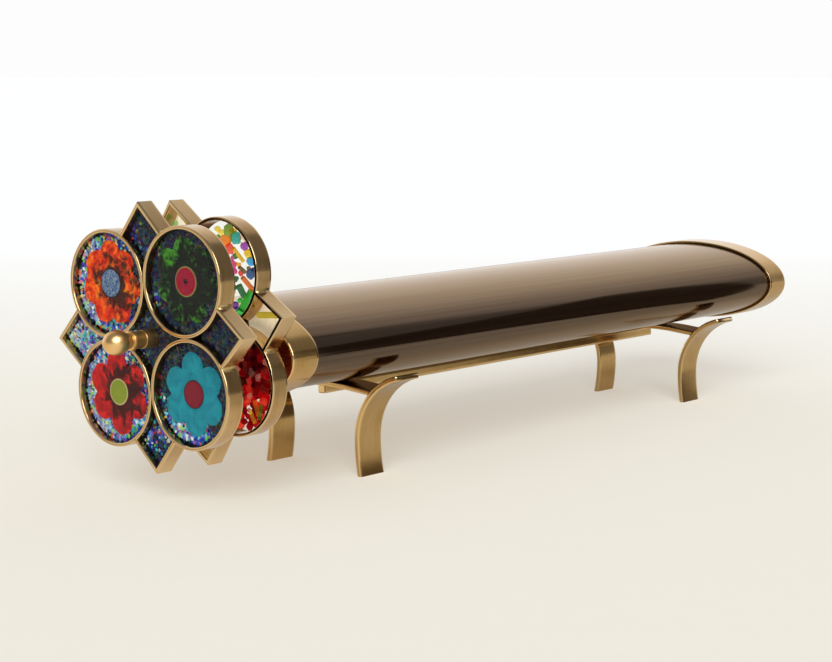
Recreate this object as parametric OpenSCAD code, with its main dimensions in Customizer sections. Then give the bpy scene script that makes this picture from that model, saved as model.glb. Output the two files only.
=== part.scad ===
// A two-wheel kaleidoscope on a brass stand.
// X runs along the body: the wheels are at the -X end and the eyepiece is at the +X end.
// The floor is z = 0, and the origin is below the middle of the whole length.

/* [Body] */
// Length of the body, from the rim of the front band to the rim of the rear band
body_length = 233; // [205:1:275]
// Half of the oval tube's width
tube_half_width = 29; // [28:0.25:30]
// Half of the oval tube's height
tube_half_height = 11.8; // [11.6:0.1:13]
// Wall of the oval tube
tube_wall = 1; // [0.6:0.1:1.1]
// Length of the brass band round each end of the tube
band_length = 9; // [7:0.5:14]
// Wall of the brass bands
band_wall = 0.8; // [0.5:0.1:1.5]
// Depth of the end plates below the rims of the bands
plate_depth = 1.6; // [1.4:0.1:2.4]
// Thickness of the end plates
plate_thick = 1.5; // [1:0.1:2]

/* [Optics] */
// Thickness of the mirror glass
mirror_thick = 1.6; // [1:0.1:1.8]
// Thickness of the black strip that closes the open side of the mirrors
side_strip_thick = 1; // [0.5:0.1:1.2]
// Room left in front of the mirrors and behind them
mirror_clear = 1; // [0.5:0.1:2]
// Length of each of the two packings that hold the mirrors in the tube
packing_length = 6; // [4:0.5:12]
// Distance of the packings from the ends of the mirrors
packing_inset = 8; // [4:0.5:20]
// How far the front plate covers the edges of the mirrors' mouth
window_lip = 0.4; // [0.2:0.1:0.5]
// How far the window glass overlaps the plate round the window
window_overlap = 0.9; // [0.6:0.1:1]
// Thickness of the window glass in front of the mirrors
window_thick = 1.5; // [1:0.1:1.8]
// Diameter of the eyehole
eyehole_d = 11; // [8:0.5:13]
// Thickness of the eye lens
lens_thick = 2; // [1.2:0.1:3]
// How far the eye lens overlaps the plate round the eyehole
lens_overlap = 1.5; // [1:0.1:2.5]
// Width of the ring round the eyehole
eyepiece_wall = 2.5; // [1.5:0.1:4]
// Depth of that ring below the rim of the rear band
eyepiece_drop = 0.2; // [0.1:0.1:0.6]

/* [Stand] */
// Height of the saddles above the floor
seat_height = 24.2; // [23:0.1:26]
// Width of the brass strip that the legs and saddles are cut from
strip_width = 9; // [7:0.5:12]
// Thickness of the legs
leg_thick = 1.5; // [1:0.1:2.5]
// Thickness of the saddles
saddle_thick = 1.4; // [1:0.1:2]
// Width of the flat under the body in the middle of a saddle
saddle_flat = 18; // [10:0.5:26]
// How far the wings of a saddle slope down to the legs
saddle_drop = 1.2; // [0:0.1:2]
// Radius of a leg on the side that faces the saddle
leg_radius = 18.6; // [17.5:0.1:19.5]
// Distance from the middle of the stand to the centre of a leg's curve
leg_centre_y = 33.6; // [30:0.2:36]
// Height of the centre of a leg's curve
leg_centre_z = 9.8; // [9:0.1:11]
// How far round its curve the top of a leg reaches
leg_top_angle = 77; // [70:1:84]
// Radius of the slighter curve of a leg below that, down to the floor
foot_radius = 50; // [48:1:90]
// From the rim of the front band to the front legs
front_setback = 38; // [25:1:60]
// From the rim of the rear band to the rear legs
rear_setback = 32; // [25:1:60]
// Width of the stretcher bar under the saddles
stretcher_width = 2.4; // [1.5:0.1:4]
// Height of the stretcher bar
stretcher_height = 2.8; // [2:0.1:5]
// Distance of the stretcher's ends from the outer edges of the saddles
stretcher_inset = 3.4; // [0:0.1:5]

/* [Wheels] */
// Outside diameter of a wheel's rings
ring_d = 27; // [24:0.1:28.5]
// Wall of the rings and of the points
rim_wall = 0.9; // [0.6:0.1:1.2]
// Depth of a wheel, front to back
rim_depth = 5; // [4.6:0.1:7]
// Distance from the axle to the tips of the points
tip_radius = 33.2; // [33:0.1:35]
// Distance of the points and the middle glass from the place where two rings touch
neck_setback = 4; // [3.6:0.1:4.6]
// Angle between a point's side and the line to its tip
tip_half_angle = 43; // [40:1:46]
// Depth of the glass below the rims, at the front
front_recess = 1.4; // [0.6:0.1:1.6]
// Depth of the glass below the rims, at the back
back_recess = 0.4; // [0.2:0.1:0.8]
// Gap between the two wheels
wheel_gap = 8.7; // [4:0.1:12]
// Gap between the rear wheel and the front band
wheel_clear = 1.5; // [1:0.1:3]
// How far the front wheel is turned as it stands
front_turn = -4.7; // [-45:0.1:45]
// How far the rear wheel is turned as it stands
rear_turn = -10.9; // [-45:0.1:45]

/* [Flowers] */
// Depth of the flowers that are set into the front wheel's glass
flower_depth = 1.2; // [0.6:0.1:1.6]
// Radius of a flower's round centre
flower_eye_r = 3.8; // [2.5:0.1:4.5]
// Radius of each petal
petal_r = 3.5; // [3.4:0.1:4.2]
// Distance of the petals from the middle of a flower
petal_reach = 6.7; // [5.5:0.1:6.8]

/* [Axle] */
// Height of the axle above the middle of the body
axle_rise = 5; // [4.9:0.1:5.5]
// Diameter of the axle
axle_d = 3; // [2:0.1:3.2]
// Outside diameter of the wheels' hubs
hub_d = 4.6; // [4.4:0.1:6]
// Length of the hubs in front of their wheels
hub_lead = 1.8; // [1:0.1:2.4]
// Length of the hubs behind their wheels
hub_tail = 0.6; // [0.2:0.1:0.8]
// Outside diameter of the spacers on the axle
spacer_d = 5.4; // [4.6:0.1:7]
// Size of the axle nut across its flats
nut_flats = 4.8; // [4.4:0.1:5]
// Thickness of the axle nut
nut_thick = 2; // [1.5:0.1:2.4]
// Length of the axle beyond the nut
axle_tail = 0.5; // [0.2:0.1:1]

/* [Knob] */
// Distance from the front wheel to the tip of the knob
knob_reach = 13.2; // [13:0.1:18]
// Greatest diameter of the knob
knob_d = 6.1; // [5.4:0.1:8]
// Length of the knob's egg-shaped head, measured as a whole egg
knob_head = 7.2; // [6.4:0.1:7.3]
// Diameter of the knob's neck
knob_neck_d = 4; // [3.8:0.1:4.6]
// Diameter of the flange of the ring behind the knob
knob_ring_d = 4.9; // [4.6:0.1:6]
// Diameter of the sleeve of that ring
knob_sleeve_d = 4.4; // [4:0.1:4.6]
// Length of the ring behind the knob
knob_ring_thick = 3.9; // [3:0.1:4]
// Thickness of its flange
knob_flange = 1.6; // [1:0.1:2.4]
// Depth of the hole for the axle in the knob
knob_hole = 5.5; // [3:0.1:6]

/* [Clearances] */
// Radial running clearance of the hubs on the axle
running_fit = 0.05; // [0.02:0.01:0.1]
// Play of a hub along the axle, at each end
end_play = 0.1; // [0.05:0.05:0.3]
// Gap at curved joints that are soldered or glued
joint_gap = 0.03; // [0.02:0.01:0.06]
// Gap between the tube and the saddles it rests on
seat_gap = 0.1; // [0.05:0.05:0.3]

/* [Hidden] */
$fn = 64;
oval_steps = 96;
brass = [0.72, 0.58, 0.34];
dark_lacquer = [0.2, 0.15, 0.13];
black = [0.05, 0.05, 0.05];
silver = [0.8, 0.82, 0.85];
clear_glass = [0.85, 0.92, 0.95, 0.5];
frit_blue = [0.12, 0.16, 0.38];

// The cells of the front wheel go round from the upper right, as the wheel's front is seen
ORANGE = 3;
GREEN = 0;
TURQUOISE = 1;
RED = 2;
flower_colours = [[0.1, 0.3, 0.18], [0.1, 0.55, 0.55], [0.75, 0.15, 0.12], [0.9, 0.4, 0.15]];
eye_colours = [[0.7, 0.08, 0.15], [0.4, 0.08, 0.14], [0.45, 0.5, 0.2], [0.45, 0.5, 0.6]];
cell_petals = [7, 6, 6, 7];

// Places along X
front_reach = knob_reach + 2 * rim_depth + wheel_gap + wheel_clear;
front_rim_x = (front_reach - body_length) / 2;
rear_rim_x = front_rim_x + body_length;
rear_wheel_x = front_rim_x - wheel_clear - rim_depth;
front_wheel_x = rear_wheel_x - wheel_gap - rim_depth;
front_plate_x = front_rim_x + plate_depth;
tube_front_x = front_plate_x + plate_thick;
rear_plate_x = rear_rim_x - plate_depth - plate_thick;
front_leg_x = front_rim_x + front_setback;
rear_leg_x = rear_rim_x - rear_setback - strip_width;
mirror_front_x = tube_front_x + nut_thick + axle_tail + mirror_clear;
mirror_rear_x = rear_plate_x - lens_thick - mirror_clear;
knob_tip_x = front_wheel_x - knob_reach;
knob_ring_x = front_wheel_x - hub_lead - end_play - knob_ring_thick;

// Heights
body_z = seat_height + seat_gap + tube_half_height;
axle_z = body_z + axle_rise;

// The lower curve of a leg is drawn half as long again as it takes to reach the floor, and cut off there
foot_angle = 1.5 * asin(leg_centre_z / foot_radius);

// Inside of the tube, and the mirrors that lie on their side in it
inner_half_width = tube_half_width - tube_wall;
inner_half_height = tube_half_height - tube_wall;
// The mirrors take two thirds of the tube's width, and stay low enough in it to leave room for the axle.
// At the tube's usual size they stand about 15 degrees apart, for a star with twelve points.
mirror_width = 1.36 * inner_half_width;
mirror_mouth = 0.608 * inner_half_height;
mirror_half_angle = asin((mirror_mouth - mirror_thick) / mirror_width);
mirror_apex_y = -0.9 * inner_half_width;
mirror_z = body_z - inner_half_height / 6;
mirror_open_y = mirror_apex_y + mirror_width * cos(mirror_half_angle);

// Cells of a wheel
ring_r = ring_d / 2;
cell_r = ring_r - rim_wall - joint_gap;
ring_pitch = ring_r + joint_gap;
glass_depth = rim_depth - front_recess - back_recess;

// Turns a flat drawing, with its height along local Z, so that local X, Y and Z become Y, Z and X
module stand_up(x) {
    translate([x, 0, 0])
        rotate([90, 0, 90])
            children();
}

// Sets a shape drawn round local Z on the axle, from x towards +X
module on_axle(x) {
    translate([x, 0, axle_z])
        rotate([0, 90, 0])
            children();
}

module tube_piece(x, length, outer_d, bore_d) {
    on_axle(x)
        difference() {
            cylinder(d = outer_d, h = length);
            translate([0, 0, -1])
                cylinder(d = bore_d, h = length + 2);
        }
}

// Oval with the tube's shape, drawn round the middle of the body
module oval(half_width, half_height) {
    translate([0, body_z])
        polygon([
            for (i = [0 : oval_steps - 1])
                let (a = 360 * i / oval_steps)
                    [half_width * cos(a), half_height * sin(a)]
        ]);
}

module oval_shell(x, length, half_width, half_height, wall) {
    stand_up(x)
        linear_extrude(length)
            difference() {
                oval(half_width, half_height);
                oval(half_width - wall, half_height - wall);
            }
}

// Stand

// A stretch of a leg: strip bent to a radius, from the height where the leg stands upright
module leg_curve(x, radius, angle) {
    translate([0, leg_radius - leg_centre_y - radius, leg_centre_z])
        stand_up(x)
            rotate_extrude(angle = angle)
                translate([radius - leg_thick, 0])
                    square([leg_thick, strip_width]);
}

// A leg: its tighter curve goes up to the saddle, and its slighter one down to the floor
module leg(x) {
    color(brass)
        difference() {
            union() {
                leg_curve(x, leg_radius, leg_top_angle);
                translate([0, 0, 2 * leg_centre_z])
                    mirror([0, 0, 1])
                        leg_curve(x, foot_radius, foot_angle);
            }
            translate([x - 1, -2 * leg_centre_y, -leg_radius])
                cube([strip_width + 2, 2 * leg_centre_y, leg_radius]);
        }
}

module leg_front_left() {
    leg(front_leg_x);
}

module leg_front_right() {
    mirror([0, 1, 0])
        leg(front_leg_x);
}

module leg_rear_left() {
    leg(rear_leg_x);
}

module leg_rear_right() {
    mirror([0, 1, 0])
        leg(rear_leg_x);
}

// A cross strip: flat under the body, with wings that slope down to the legs and end against them
module saddle(x) {
    flat = saddle_flat / 2;
    wing = leg_centre_y - leg_radius * 0.6;
    top = [
        [-wing, seat_height - saddle_drop], [-flat, seat_height],
        [flat, seat_height], [wing, seat_height - saddle_drop]
    ];
    under = [for (i = [3 : -1 : 0]) top[i] - [0, saddle_thick]];
    color(brass)
        stand_up(x)
            linear_extrude(strip_width)
                difference() {
                    polygon(concat(top, under));
                    for (side = [-1, 1])
                        translate([side * leg_centre_y, leg_centre_z])
                            circle(leg_radius + joint_gap);
                }
}

module saddle_front() {
    saddle(front_leg_x);
}

module saddle_rear() {
    saddle(rear_leg_x);
}

module stretcher_bar() {
    x0 = front_leg_x + stretcher_inset;
    x1 = rear_leg_x + strip_width - stretcher_inset;
    color(brass)
        translate([x0, -stretcher_width / 2, seat_height - saddle_thick - stretcher_height])
            cube([x1 - x0, stretcher_width, stretcher_height]);
}

// Body

module body_tube() {
    color(dark_lacquer)
        oval_shell(tube_front_x, rear_plate_x - tube_front_x, tube_half_width, tube_half_height, tube_wall);
}

module band(x) {
    color(brass)
        oval_shell(x, band_length, tube_half_width + joint_gap + band_wall,
            tube_half_height + joint_gap + band_wall, band_wall);
}

module front_band() {
    band(front_rim_x);
}

module rear_band() {
    band(rear_rim_x - band_length);
}

// The plate in the front end has a window shaped like the mouth of the mirrors, and the axle's hole
module front_plate() {
    color(brass)
        difference() {
            stand_up(front_plate_x)
                linear_extrude(plate_thick)
                    difference() {
                        oval(tube_half_width, tube_half_height);
                        window_outline(0);
                    }
            on_axle(front_plate_x - 1)
                cylinder(d = axle_d + 2 * joint_gap, h = plate_thick + 2);
        }
}

// Mouth of the mirrors, a little smaller than the mirrors' own opening
module window_outline(grow) {
    slope = tan(mirror_half_angle);
    y0 = mirror_apex_y + mirror_width / 7;
    y1 = mirror_open_y - 3 * window_lip;
    half0 = (y0 - mirror_apex_y) * slope - window_lip + grow;
    half1 = (y1 - mirror_apex_y) * slope - window_lip + grow;
    polygon([
        [y0 - grow, mirror_z - half0], [y1 + grow, mirror_z - half1],
        [y1 + grow, mirror_z + half1], [y0 - grow, mirror_z + half0]
    ]);
}

module object_window() {
    color(clear_glass)
        stand_up(tube_front_x)
            linear_extrude(window_thick)
                window_outline(window_overlap);
}

// Optics

module mirror_glass(side) {
    color(silver)
        stand_up(mirror_front_x)
            translate([mirror_apex_y, mirror_z])
                rotate([0, 0, side * mirror_half_angle])
                    translate([0, side > 0 ? joint_gap : -joint_gap - mirror_thick, 0])
                        cube([mirror_width, mirror_thick, mirror_rear_x - mirror_front_x]);
}

module mirror_upper() {
    mirror_glass(1);
}

module mirror_lower() {
    mirror_glass(-1);
}

module mirror_side_strip() {
    half = mirror_width * sin(mirror_half_angle) + mirror_thick / cos(mirror_half_angle);
    color(black)
        stand_up(mirror_front_x)
            translate([mirror_open_y + joint_gap, mirror_z - half])
                cube([side_strip_thick, 2 * half, mirror_rear_x - mirror_front_x]);
}

// Outline round the mirrors and the side strip
module mirror_outline() {
    slope = tan(mirror_half_angle);
    rise = mirror_thick / cos(mirror_half_angle) + 3 * joint_gap;
    y0 = mirror_apex_y - mirror_thick * sin(mirror_half_angle) - joint_gap;
    y1 = mirror_open_y + side_strip_thick + 2 * joint_gap;
    polygon([
        for (corner = [[y0, -1], [y1, -1], [y1, 1], [y0, 1]])
            [corner[0], mirror_z + corner[1] * ((corner[0] - mirror_apex_y) * slope + rise)]
    ]);
}

module mirror_packing(x) {
    color(black)
        stand_up(x)
            linear_extrude(packing_length)
                difference() {
                    oval(inner_half_width - joint_gap, inner_half_height - joint_gap);
                    mirror_outline();
                }
}

module mirror_packing_front() {
    mirror_packing(mirror_front_x + packing_inset);
}

module mirror_packing_rear() {
    mirror_packing(mirror_rear_x - packing_inset - packing_length);
}

module rear_plate() {
    color(brass)
        difference() {
            stand_up(rear_plate_x)
                linear_extrude(plate_thick)
                    oval(tube_half_width, tube_half_height);
            translate([rear_plate_x - 1, 0, body_z])
                rotate([0, 90, 0])
                    cylinder(d = eyehole_d, h = plate_thick + 2);
        }
}

module eye_lens() {
    color(clear_glass)
        translate([rear_plate_x - lens_thick, 0, body_z])
            rotate([0, 90, 0])
                cylinder(d = eyehole_d + 2 * lens_overlap, h = lens_thick);
}

module eyepiece_ring() {
    color(brass)
        translate([rear_plate_x + plate_thick, 0, body_z])
            rotate([0, 90, 0])
                difference() {
                    cylinder(d = eyehole_d + 2 * eyepiece_wall, h = plate_depth - eyepiece_drop);
                    translate([0, 0, -1])
                        cylinder(d = eyehole_d, h = plate_depth + 2);
                }
}

// Axle and what is fixed on it

module axle() {
    x0 = knob_ring_x - knob_hole + joint_gap;
    x1 = tube_front_x + nut_thick + axle_tail;
    color(brass)
        on_axle(x0)
            cylinder(d = axle_d, h = x1 - x0);
}

module axle_nut() {
    color(brass)
        on_axle(tube_front_x)
            rotate([0, 0, 90])
                difference() {
                    cylinder(d = nut_flats / cos(30), h = nut_thick, $fn = 6);
                    translate([0, 0, -1])
                        cylinder(d = axle_d + 2 * joint_gap, h = nut_thick + 2);
                }
}

module rear_spacer() {
    x0 = rear_wheel_x + rim_depth + hub_tail + end_play;
    color(brass)
        tube_piece(x0, front_plate_x - x0, spacer_d, axle_d + 2 * joint_gap);
}

module middle_spacer() {
    x0 = front_wheel_x + rim_depth + hub_tail + end_play;
    x1 = rear_wheel_x - hub_lead - end_play;
    color(brass)
        tube_piece(x0, x1 - x0, spacer_d, axle_d + 2 * joint_gap);
}

// A turned sleeve with a flange against the knob
module knob_ring() {
    color(brass)
        difference() {
            on_axle(knob_ring_x)
                union() {
                    cylinder(d = knob_ring_d, h = knob_flange);
                    cylinder(d = knob_sleeve_d, h = knob_ring_thick);
                }
            on_axle(knob_ring_x - 1)
                cylinder(d = axle_d + 2 * joint_gap, h = knob_ring_thick + 2);
        }
}

// The knob is egg-shaped, with a short neck
module finial_knob() {
    steps = 20;
    length = knob_ring_x - knob_tip_x;
    shoulder = 180 - asin(knob_neck_d / knob_d);
    color(brass)
        difference() {
            on_axle(knob_tip_x)
                rotate_extrude()
                    polygon(concat(
                        [[0, 0]],
                        [
                            for (i = [1 : steps])
                                let (a = shoulder * i / steps)
                                    [knob_d / 2 * sin(a), knob_head / 2 * (1 - cos(a))]
                        ],
                        [[knob_neck_d / 2, length], [0, length]]
                    ));
            on_axle(knob_ring_x - knob_hole)
                cylinder(d = axle_d + 2 * joint_gap, h = knob_hole + 1);
        }
}

// Wheels

// Puts a wheel's pieces, drawn flat round the axle, in place with the wheel's own turn
module on_wheel(x, turn) {
    translate([x, 0, axle_z])
        rotate([turn, 0, 0])
            rotate([90, 0, 90])
                children();
}

// Centre of the cell with the given number, counted from the upper right of the wheel's front
function cell_centre(i) = ring_pitch * [[-1, 1], [-1, -1], [1, -1], [1, 1]][i];

module ring(i) {
    color(brass)
        translate(cell_centre(i))
            difference() {
                cylinder(r = ring_r, h = rim_depth);
                translate([0, 0, -1])
                    cylinder(r = ring_r - rim_wall, h = rim_depth + 2);
            }
}

module cell_glass(i) {
    translate([cell_centre(i)[0], cell_centre(i)[1], front_recess])
        cylinder(r = cell_r, h = glass_depth);
}

// Flat outline of a flower, as petals round the cell's middle
module flower_outline(i, grow) {
    for (k = [0 : cell_petals[i] - 1])
        rotate(360 * k / cell_petals[i])
            translate([petal_reach, 0])
                circle(petal_r + grow);
    circle(petal_reach);
}

module cell_with_pocket(i) {
    color(frit_blue)
        difference() {
            cell_glass(i);
            translate([cell_centre(i)[0], cell_centre(i)[1], front_recess - 1])
                linear_extrude(flower_depth + 1)
                    flower_outline(i, joint_gap);
        }
}

module flower(i) {
    color(flower_colours[i])
        translate([cell_centre(i)[0], cell_centre(i)[1], front_recess])
            difference() {
                linear_extrude(flower_depth)
                    flower_outline(i, 0);
                translate([0, 0, -1])
                    cylinder(r = flower_eye_r + joint_gap, h = flower_depth + 2);
            }
}

module flower_eye(i) {
    color(eye_colours[i])
        translate([cell_centre(i)[0], cell_centre(i)[1], front_recess])
            cylinder(r = flower_eye_r, h = flower_depth);
}

// The spaces between the rings, as flat outlines
module all_rings() {
    for (i = [0 : 3])
        translate(cell_centre(i))
            circle(ring_r + joint_gap);
}

// A triangle with its tip at the given distance from the axle, ending where the rings close in
module point_outline(tip) {
    base = ring_pitch + neck_setback;
    half = (tip - base) * tan(tip_half_angle);
    polygon([[0, tip], [-half, base], [half, base]]);
}

module points() {
    inner_tip = tip_radius - rim_wall / sin(tip_half_angle);
    color(brass)
        linear_extrude(rim_depth)
            for (k = [0 : 3])
                rotate(90 * k)
                    difference() {
                        point_outline(tip_radius);
                        point_outline(inner_tip);
                        all_rings();
                    }
}

module point_glass() {
    inner_tip = tip_radius - (rim_wall + joint_gap) / sin(tip_half_angle);
    translate([0, 0, front_recess])
        linear_extrude(glass_depth)
            for (k = [0 : 3])
                rotate(90 * k)
                    difference() {
                        point_outline(inner_tip);
                        all_rings();
                    }
}

module centre_glass() {
    half = ring_pitch - neck_setback;
    translate([0, 0, front_recess])
        linear_extrude(glass_depth)
            difference() {
                square(2 * half, center = true);
                all_rings();
                circle(d = hub_d + 2 * joint_gap);
            }
}

module hub() {
    color(brass)
        translate([0, 0, -hub_lead])
            difference() {
                cylinder(d = hub_d, h = hub_lead + rim_depth + hub_tail);
                translate([0, 0, -1])
                    cylinder(d = axle_d + 2 * running_fit, h = hub_lead + rim_depth + hub_tail + 2);
            }
}

module on_front_wheel() {
    on_wheel(front_wheel_x, front_turn)
        children();
}

module on_rear_wheel() {
    on_wheel(rear_wheel_x, rear_turn)
        children();
}

module front_points() {
    on_front_wheel()
        points();
}

module front_point_glass() {
    color(frit_blue)
        on_front_wheel()
            point_glass();
}

module front_centre_glass() {
    color(frit_blue)
        on_front_wheel()
            centre_glass();
}

module front_hub() {
    on_front_wheel()
        hub();
}

module rear_cell(i) {
    color(clear_glass)
        on_rear_wheel()
            cell_glass(i);
}

module rear_points() {
    on_rear_wheel()
        points();
}

module rear_point_glass() {
    color(clear_glass)
        on_rear_wheel()
            point_glass();
}

module rear_centre_glass() {
    color(frit_blue)
        on_rear_wheel()
            centre_glass();
}

module rear_hub() {
    on_rear_wheel()
        hub();
}

leg_front_left();
leg_front_right();
leg_rear_left();
leg_rear_right();
saddle_front();
saddle_rear();
stretcher_bar();
body_tube();
front_band();
rear_band();
front_plate();
object_window();
mirror_upper();
mirror_lower();
mirror_side_strip();
mirror_packing_front();
mirror_packing_rear();
rear_plate();
eye_lens();
eyepiece_ring();
axle();
axle_nut();
rear_spacer();
middle_spacer();
knob_ring();
finial_knob();
on_front_wheel() ring(ORANGE);  // front_ring_orange
on_front_wheel() ring(GREEN);  // front_ring_green
on_front_wheel() ring(TURQUOISE);  // front_ring_turquoise
on_front_wheel() ring(RED);  // front_ring_red
on_front_wheel() cell_with_pocket(ORANGE);  // front_cell_orange
on_front_wheel() cell_with_pocket(GREEN);  // front_cell_green
on_front_wheel() cell_with_pocket(TURQUOISE);  // front_cell_turquoise
on_front_wheel() cell_with_pocket(RED);  // front_cell_red
on_front_wheel() flower(ORANGE);  // flower_orange
on_front_wheel() flower(GREEN);  // flower_green
on_front_wheel() flower(TURQUOISE);  // flower_turquoise
on_front_wheel() flower(RED);  // flower_red
on_front_wheel() flower_eye(ORANGE);  // flower_eye_orange
on_front_wheel() flower_eye(GREEN);  // flower_eye_green
on_front_wheel() flower_eye(TURQUOISE);  // flower_eye_turquoise
on_front_wheel() flower_eye(RED);  // flower_eye_red
front_points();
front_point_glass();
front_centre_glass();
front_hub();
on_rear_wheel() ring(0);  // rear_ring_upper_right
on_rear_wheel() ring(1);  // rear_ring_lower_right
on_rear_wheel() ring(2);  // rear_ring_lower_left
on_rear_wheel() ring(3);  // rear_ring_upper_left
rear_cell(0);  // rear_cell_upper_right
rear_cell(1);  // rear_cell_lower_right
rear_cell(2);  // rear_cell_lower_left
rear_cell(3);  // rear_cell_upper_left
rear_points();
rear_point_glass();
rear_centre_glass();
rear_hub();
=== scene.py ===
import math
import random

import bmesh
import bpy
from mathutils import Matrix, Vector


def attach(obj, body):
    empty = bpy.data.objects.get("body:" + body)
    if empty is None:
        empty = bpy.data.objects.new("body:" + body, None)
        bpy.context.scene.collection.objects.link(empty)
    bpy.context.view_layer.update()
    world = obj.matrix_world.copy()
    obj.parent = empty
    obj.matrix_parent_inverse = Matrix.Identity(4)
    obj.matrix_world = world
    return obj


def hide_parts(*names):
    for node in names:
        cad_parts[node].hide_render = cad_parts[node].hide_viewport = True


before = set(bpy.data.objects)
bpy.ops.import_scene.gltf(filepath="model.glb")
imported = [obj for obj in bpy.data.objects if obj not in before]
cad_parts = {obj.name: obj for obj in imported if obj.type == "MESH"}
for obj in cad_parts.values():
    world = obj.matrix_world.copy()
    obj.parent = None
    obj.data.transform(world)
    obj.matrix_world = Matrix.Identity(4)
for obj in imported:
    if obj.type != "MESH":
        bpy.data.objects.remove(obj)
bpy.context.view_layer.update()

# Legs of the stand: four strips of half-hard brass, 9 mm wide, with a tight bend in over the top and a
# slight one down to the floor, where they are filed flat. Their edges are broken with a file, and the
# brushing runs the length of the strip.

mm = 0.001
strip_width = 9.0
leg_thick = 1.5
leg_outer_radius = 18.6
leg_curve_y = 33.6
leg_curve_z = 9.8
leg_top = math.radians(77)
foot_radius = 50.0
filed_corner = 0.28
worn_width = 0.5
leg_starts = {"front": -61.8, "rear": 92.2}
foot_steps, bend_steps = 12, 32
leg_steps = foot_steps + bend_steps


def linear(code):
    """The linear colour that a shader takes, from an sRGB hex value."""
    parts = [int(code[i:i + 2], 16) / 255 for i in (1, 3, 5)]
    return [p / 12.92 if p <= 0.04045 else ((p + 0.055) / 1.055) ** 2.4 for p in parts] + [1.0]


def add(tree, kind, wires=(), **settings):
    """One node with its settings, its plain values and its links."""
    node = tree.nodes.new(kind)
    for key, value in settings.items():
        if key == "stops":
            ramp = node.color_ramp.elements
            while len(ramp) < len(value):
                ramp.new(1.0)
            for stop, (where, code) in zip(ramp, value):
                stop.position, stop.color = where, linear(code)
        elif key == "steps":
            node.color_ramp.interpolation = value
        else:
            setattr(node, key, value)
    for socket, source in dict(wires).items():
        if isinstance(source, bpy.types.NodeSocket):
            tree.links.new(source, node.inputs[socket])
        else:
            node.inputs[socket].default_value = source
    return node


def material(name):
    """A bare material and its node tree."""
    made = bpy.data.materials.new(name)
    made.use_nodes = True
    made.node_tree.nodes.clear()
    return made, made.node_tree


def cut_section(width, thick, corner):
    """Outline of a strip cut across, each point with how much its corner is worn bright by handling. The
    wear fades out over the worn width, or over a fifth of a narrow side."""
    points = []
    for quarter, (sx, sy) in enumerate(((1, 1), (-1, 1), (-1, -1), (1, -1))):
        middle = Vector((sx * (width / 2 - corner), sy * (thick / 2 - corner)))
        arc = []
        for step in range(4):
            angle = math.radians(90 * quarter + 30 * step)
            arc.append(middle + corner * Vector((math.cos(angle), math.sin(angle))))
        before, after = arc[0].copy(), arc[-1].copy()
        inset_x, inset_y = min(worn_width, width / 5), min(worn_width, thick / 5)
        if quarter % 2 == 0:
            before.y -= sy * inset_y
            after.x -= sx * inset_x
        else:
            before.x -= sx * inset_x
            after.y -= sy * inset_y
        points.append((before.x, before.y, 0.0))
        points += [(p.x, p.y, 1.0) for p in arc]
        points.append((after.x, after.y, 0.0))
    return points


def set_out(name, contents):
    """A named object in the scene that holds a mesh, a light or a camera."""
    placed = bpy.data.objects.new(name, contents)
    bpy.context.scene.collection.objects.link(placed)
    return placed


def skin(name, rows, round_wear=None, row_wear=None, closed=False, along=True):
    """A skin over rows of like outlines, in mm. It keeps the worn corners and the run of the brushing,
    along the rows or round the outlines, as attributes for the brass."""
    count, total = len(rows[0]), len(rows)
    spots = [Vector(p) for row in rows for p in row]
    faces = []
    for i in range(total if closed else total - 1):
        a, b = i * count, (i + 1) % total * count
        for j in range(count):
            k = (j + 1) % count
            faces.append((a + j, a + k, b + k, b + j))
    if not closed:
        faces += [tuple(range(count)), tuple(range((total - 1) * count, total * count))]
    mesh = bpy.data.meshes.new(name)
    mesh.from_pydata([p * mm for p in spots], [], faces)
    shape = bmesh.new()
    shape.from_mesh(mesh)
    bmesh.ops.recalc_face_normals(shape, faces=shape.faces)
    shape.to_mesh(mesh)
    shape.free()
    length, around = [0.0], [0.0]
    for i in range(total):
        length.append(length[-1] + (spots[(i + 1) % total * count] - spots[i * count]).length)
    for j in range(count):
        around.append(around[-1] + (spots[(j + 1) % count] - spots[j]).length)
    wear, brush = [], []
    for i in range(total):
        for j in range(count):
            far = min(length[i], length[-1] - length[i]) if closed else length[i]
            side = min(around[j], around[-1] - around[j])
            brush += [far, side, 0.0] if along else [side, far, 0.0]
            wear.append(max(round_wear[j] if round_wear else 0.0, row_wear[i] if row_wear else 0.0))
    mesh.attributes.new("wear", "FLOAT", "POINT").data.foreach_set("value", wear)
    mesh.attributes.new("brush", "FLOAT_VECTOR", "POINT").data.foreach_set("vector", brush)
    mesh.shade_smooth()
    mesh.set_sharp_from_angle(angle=math.radians(40))
    return set_out(name, mesh)


def fit(piece, finish, body, slot, *nodes):
    """Gives a made piece its finish, its body and the nodes it stands for. Its slot is not used."""
    piece.data.materials.clear()
    piece.data.materials.append(finish)
    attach(piece, body)
    if nodes:
        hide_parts(*nodes)


# Satin brass, brushed and left to age: warm tan in the light and olive brown in the shade, with fine
# lines along the brushing, a darker bloom on the flats and bare bright metal on the corners. The real
# lines are about 0.05 mm apart, too fine to show, so they are drawn 0.3 mm apart and 16 mm long.
line_pitch, line_length, bloom_size = 0.3, 16.0, 9.0


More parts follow.
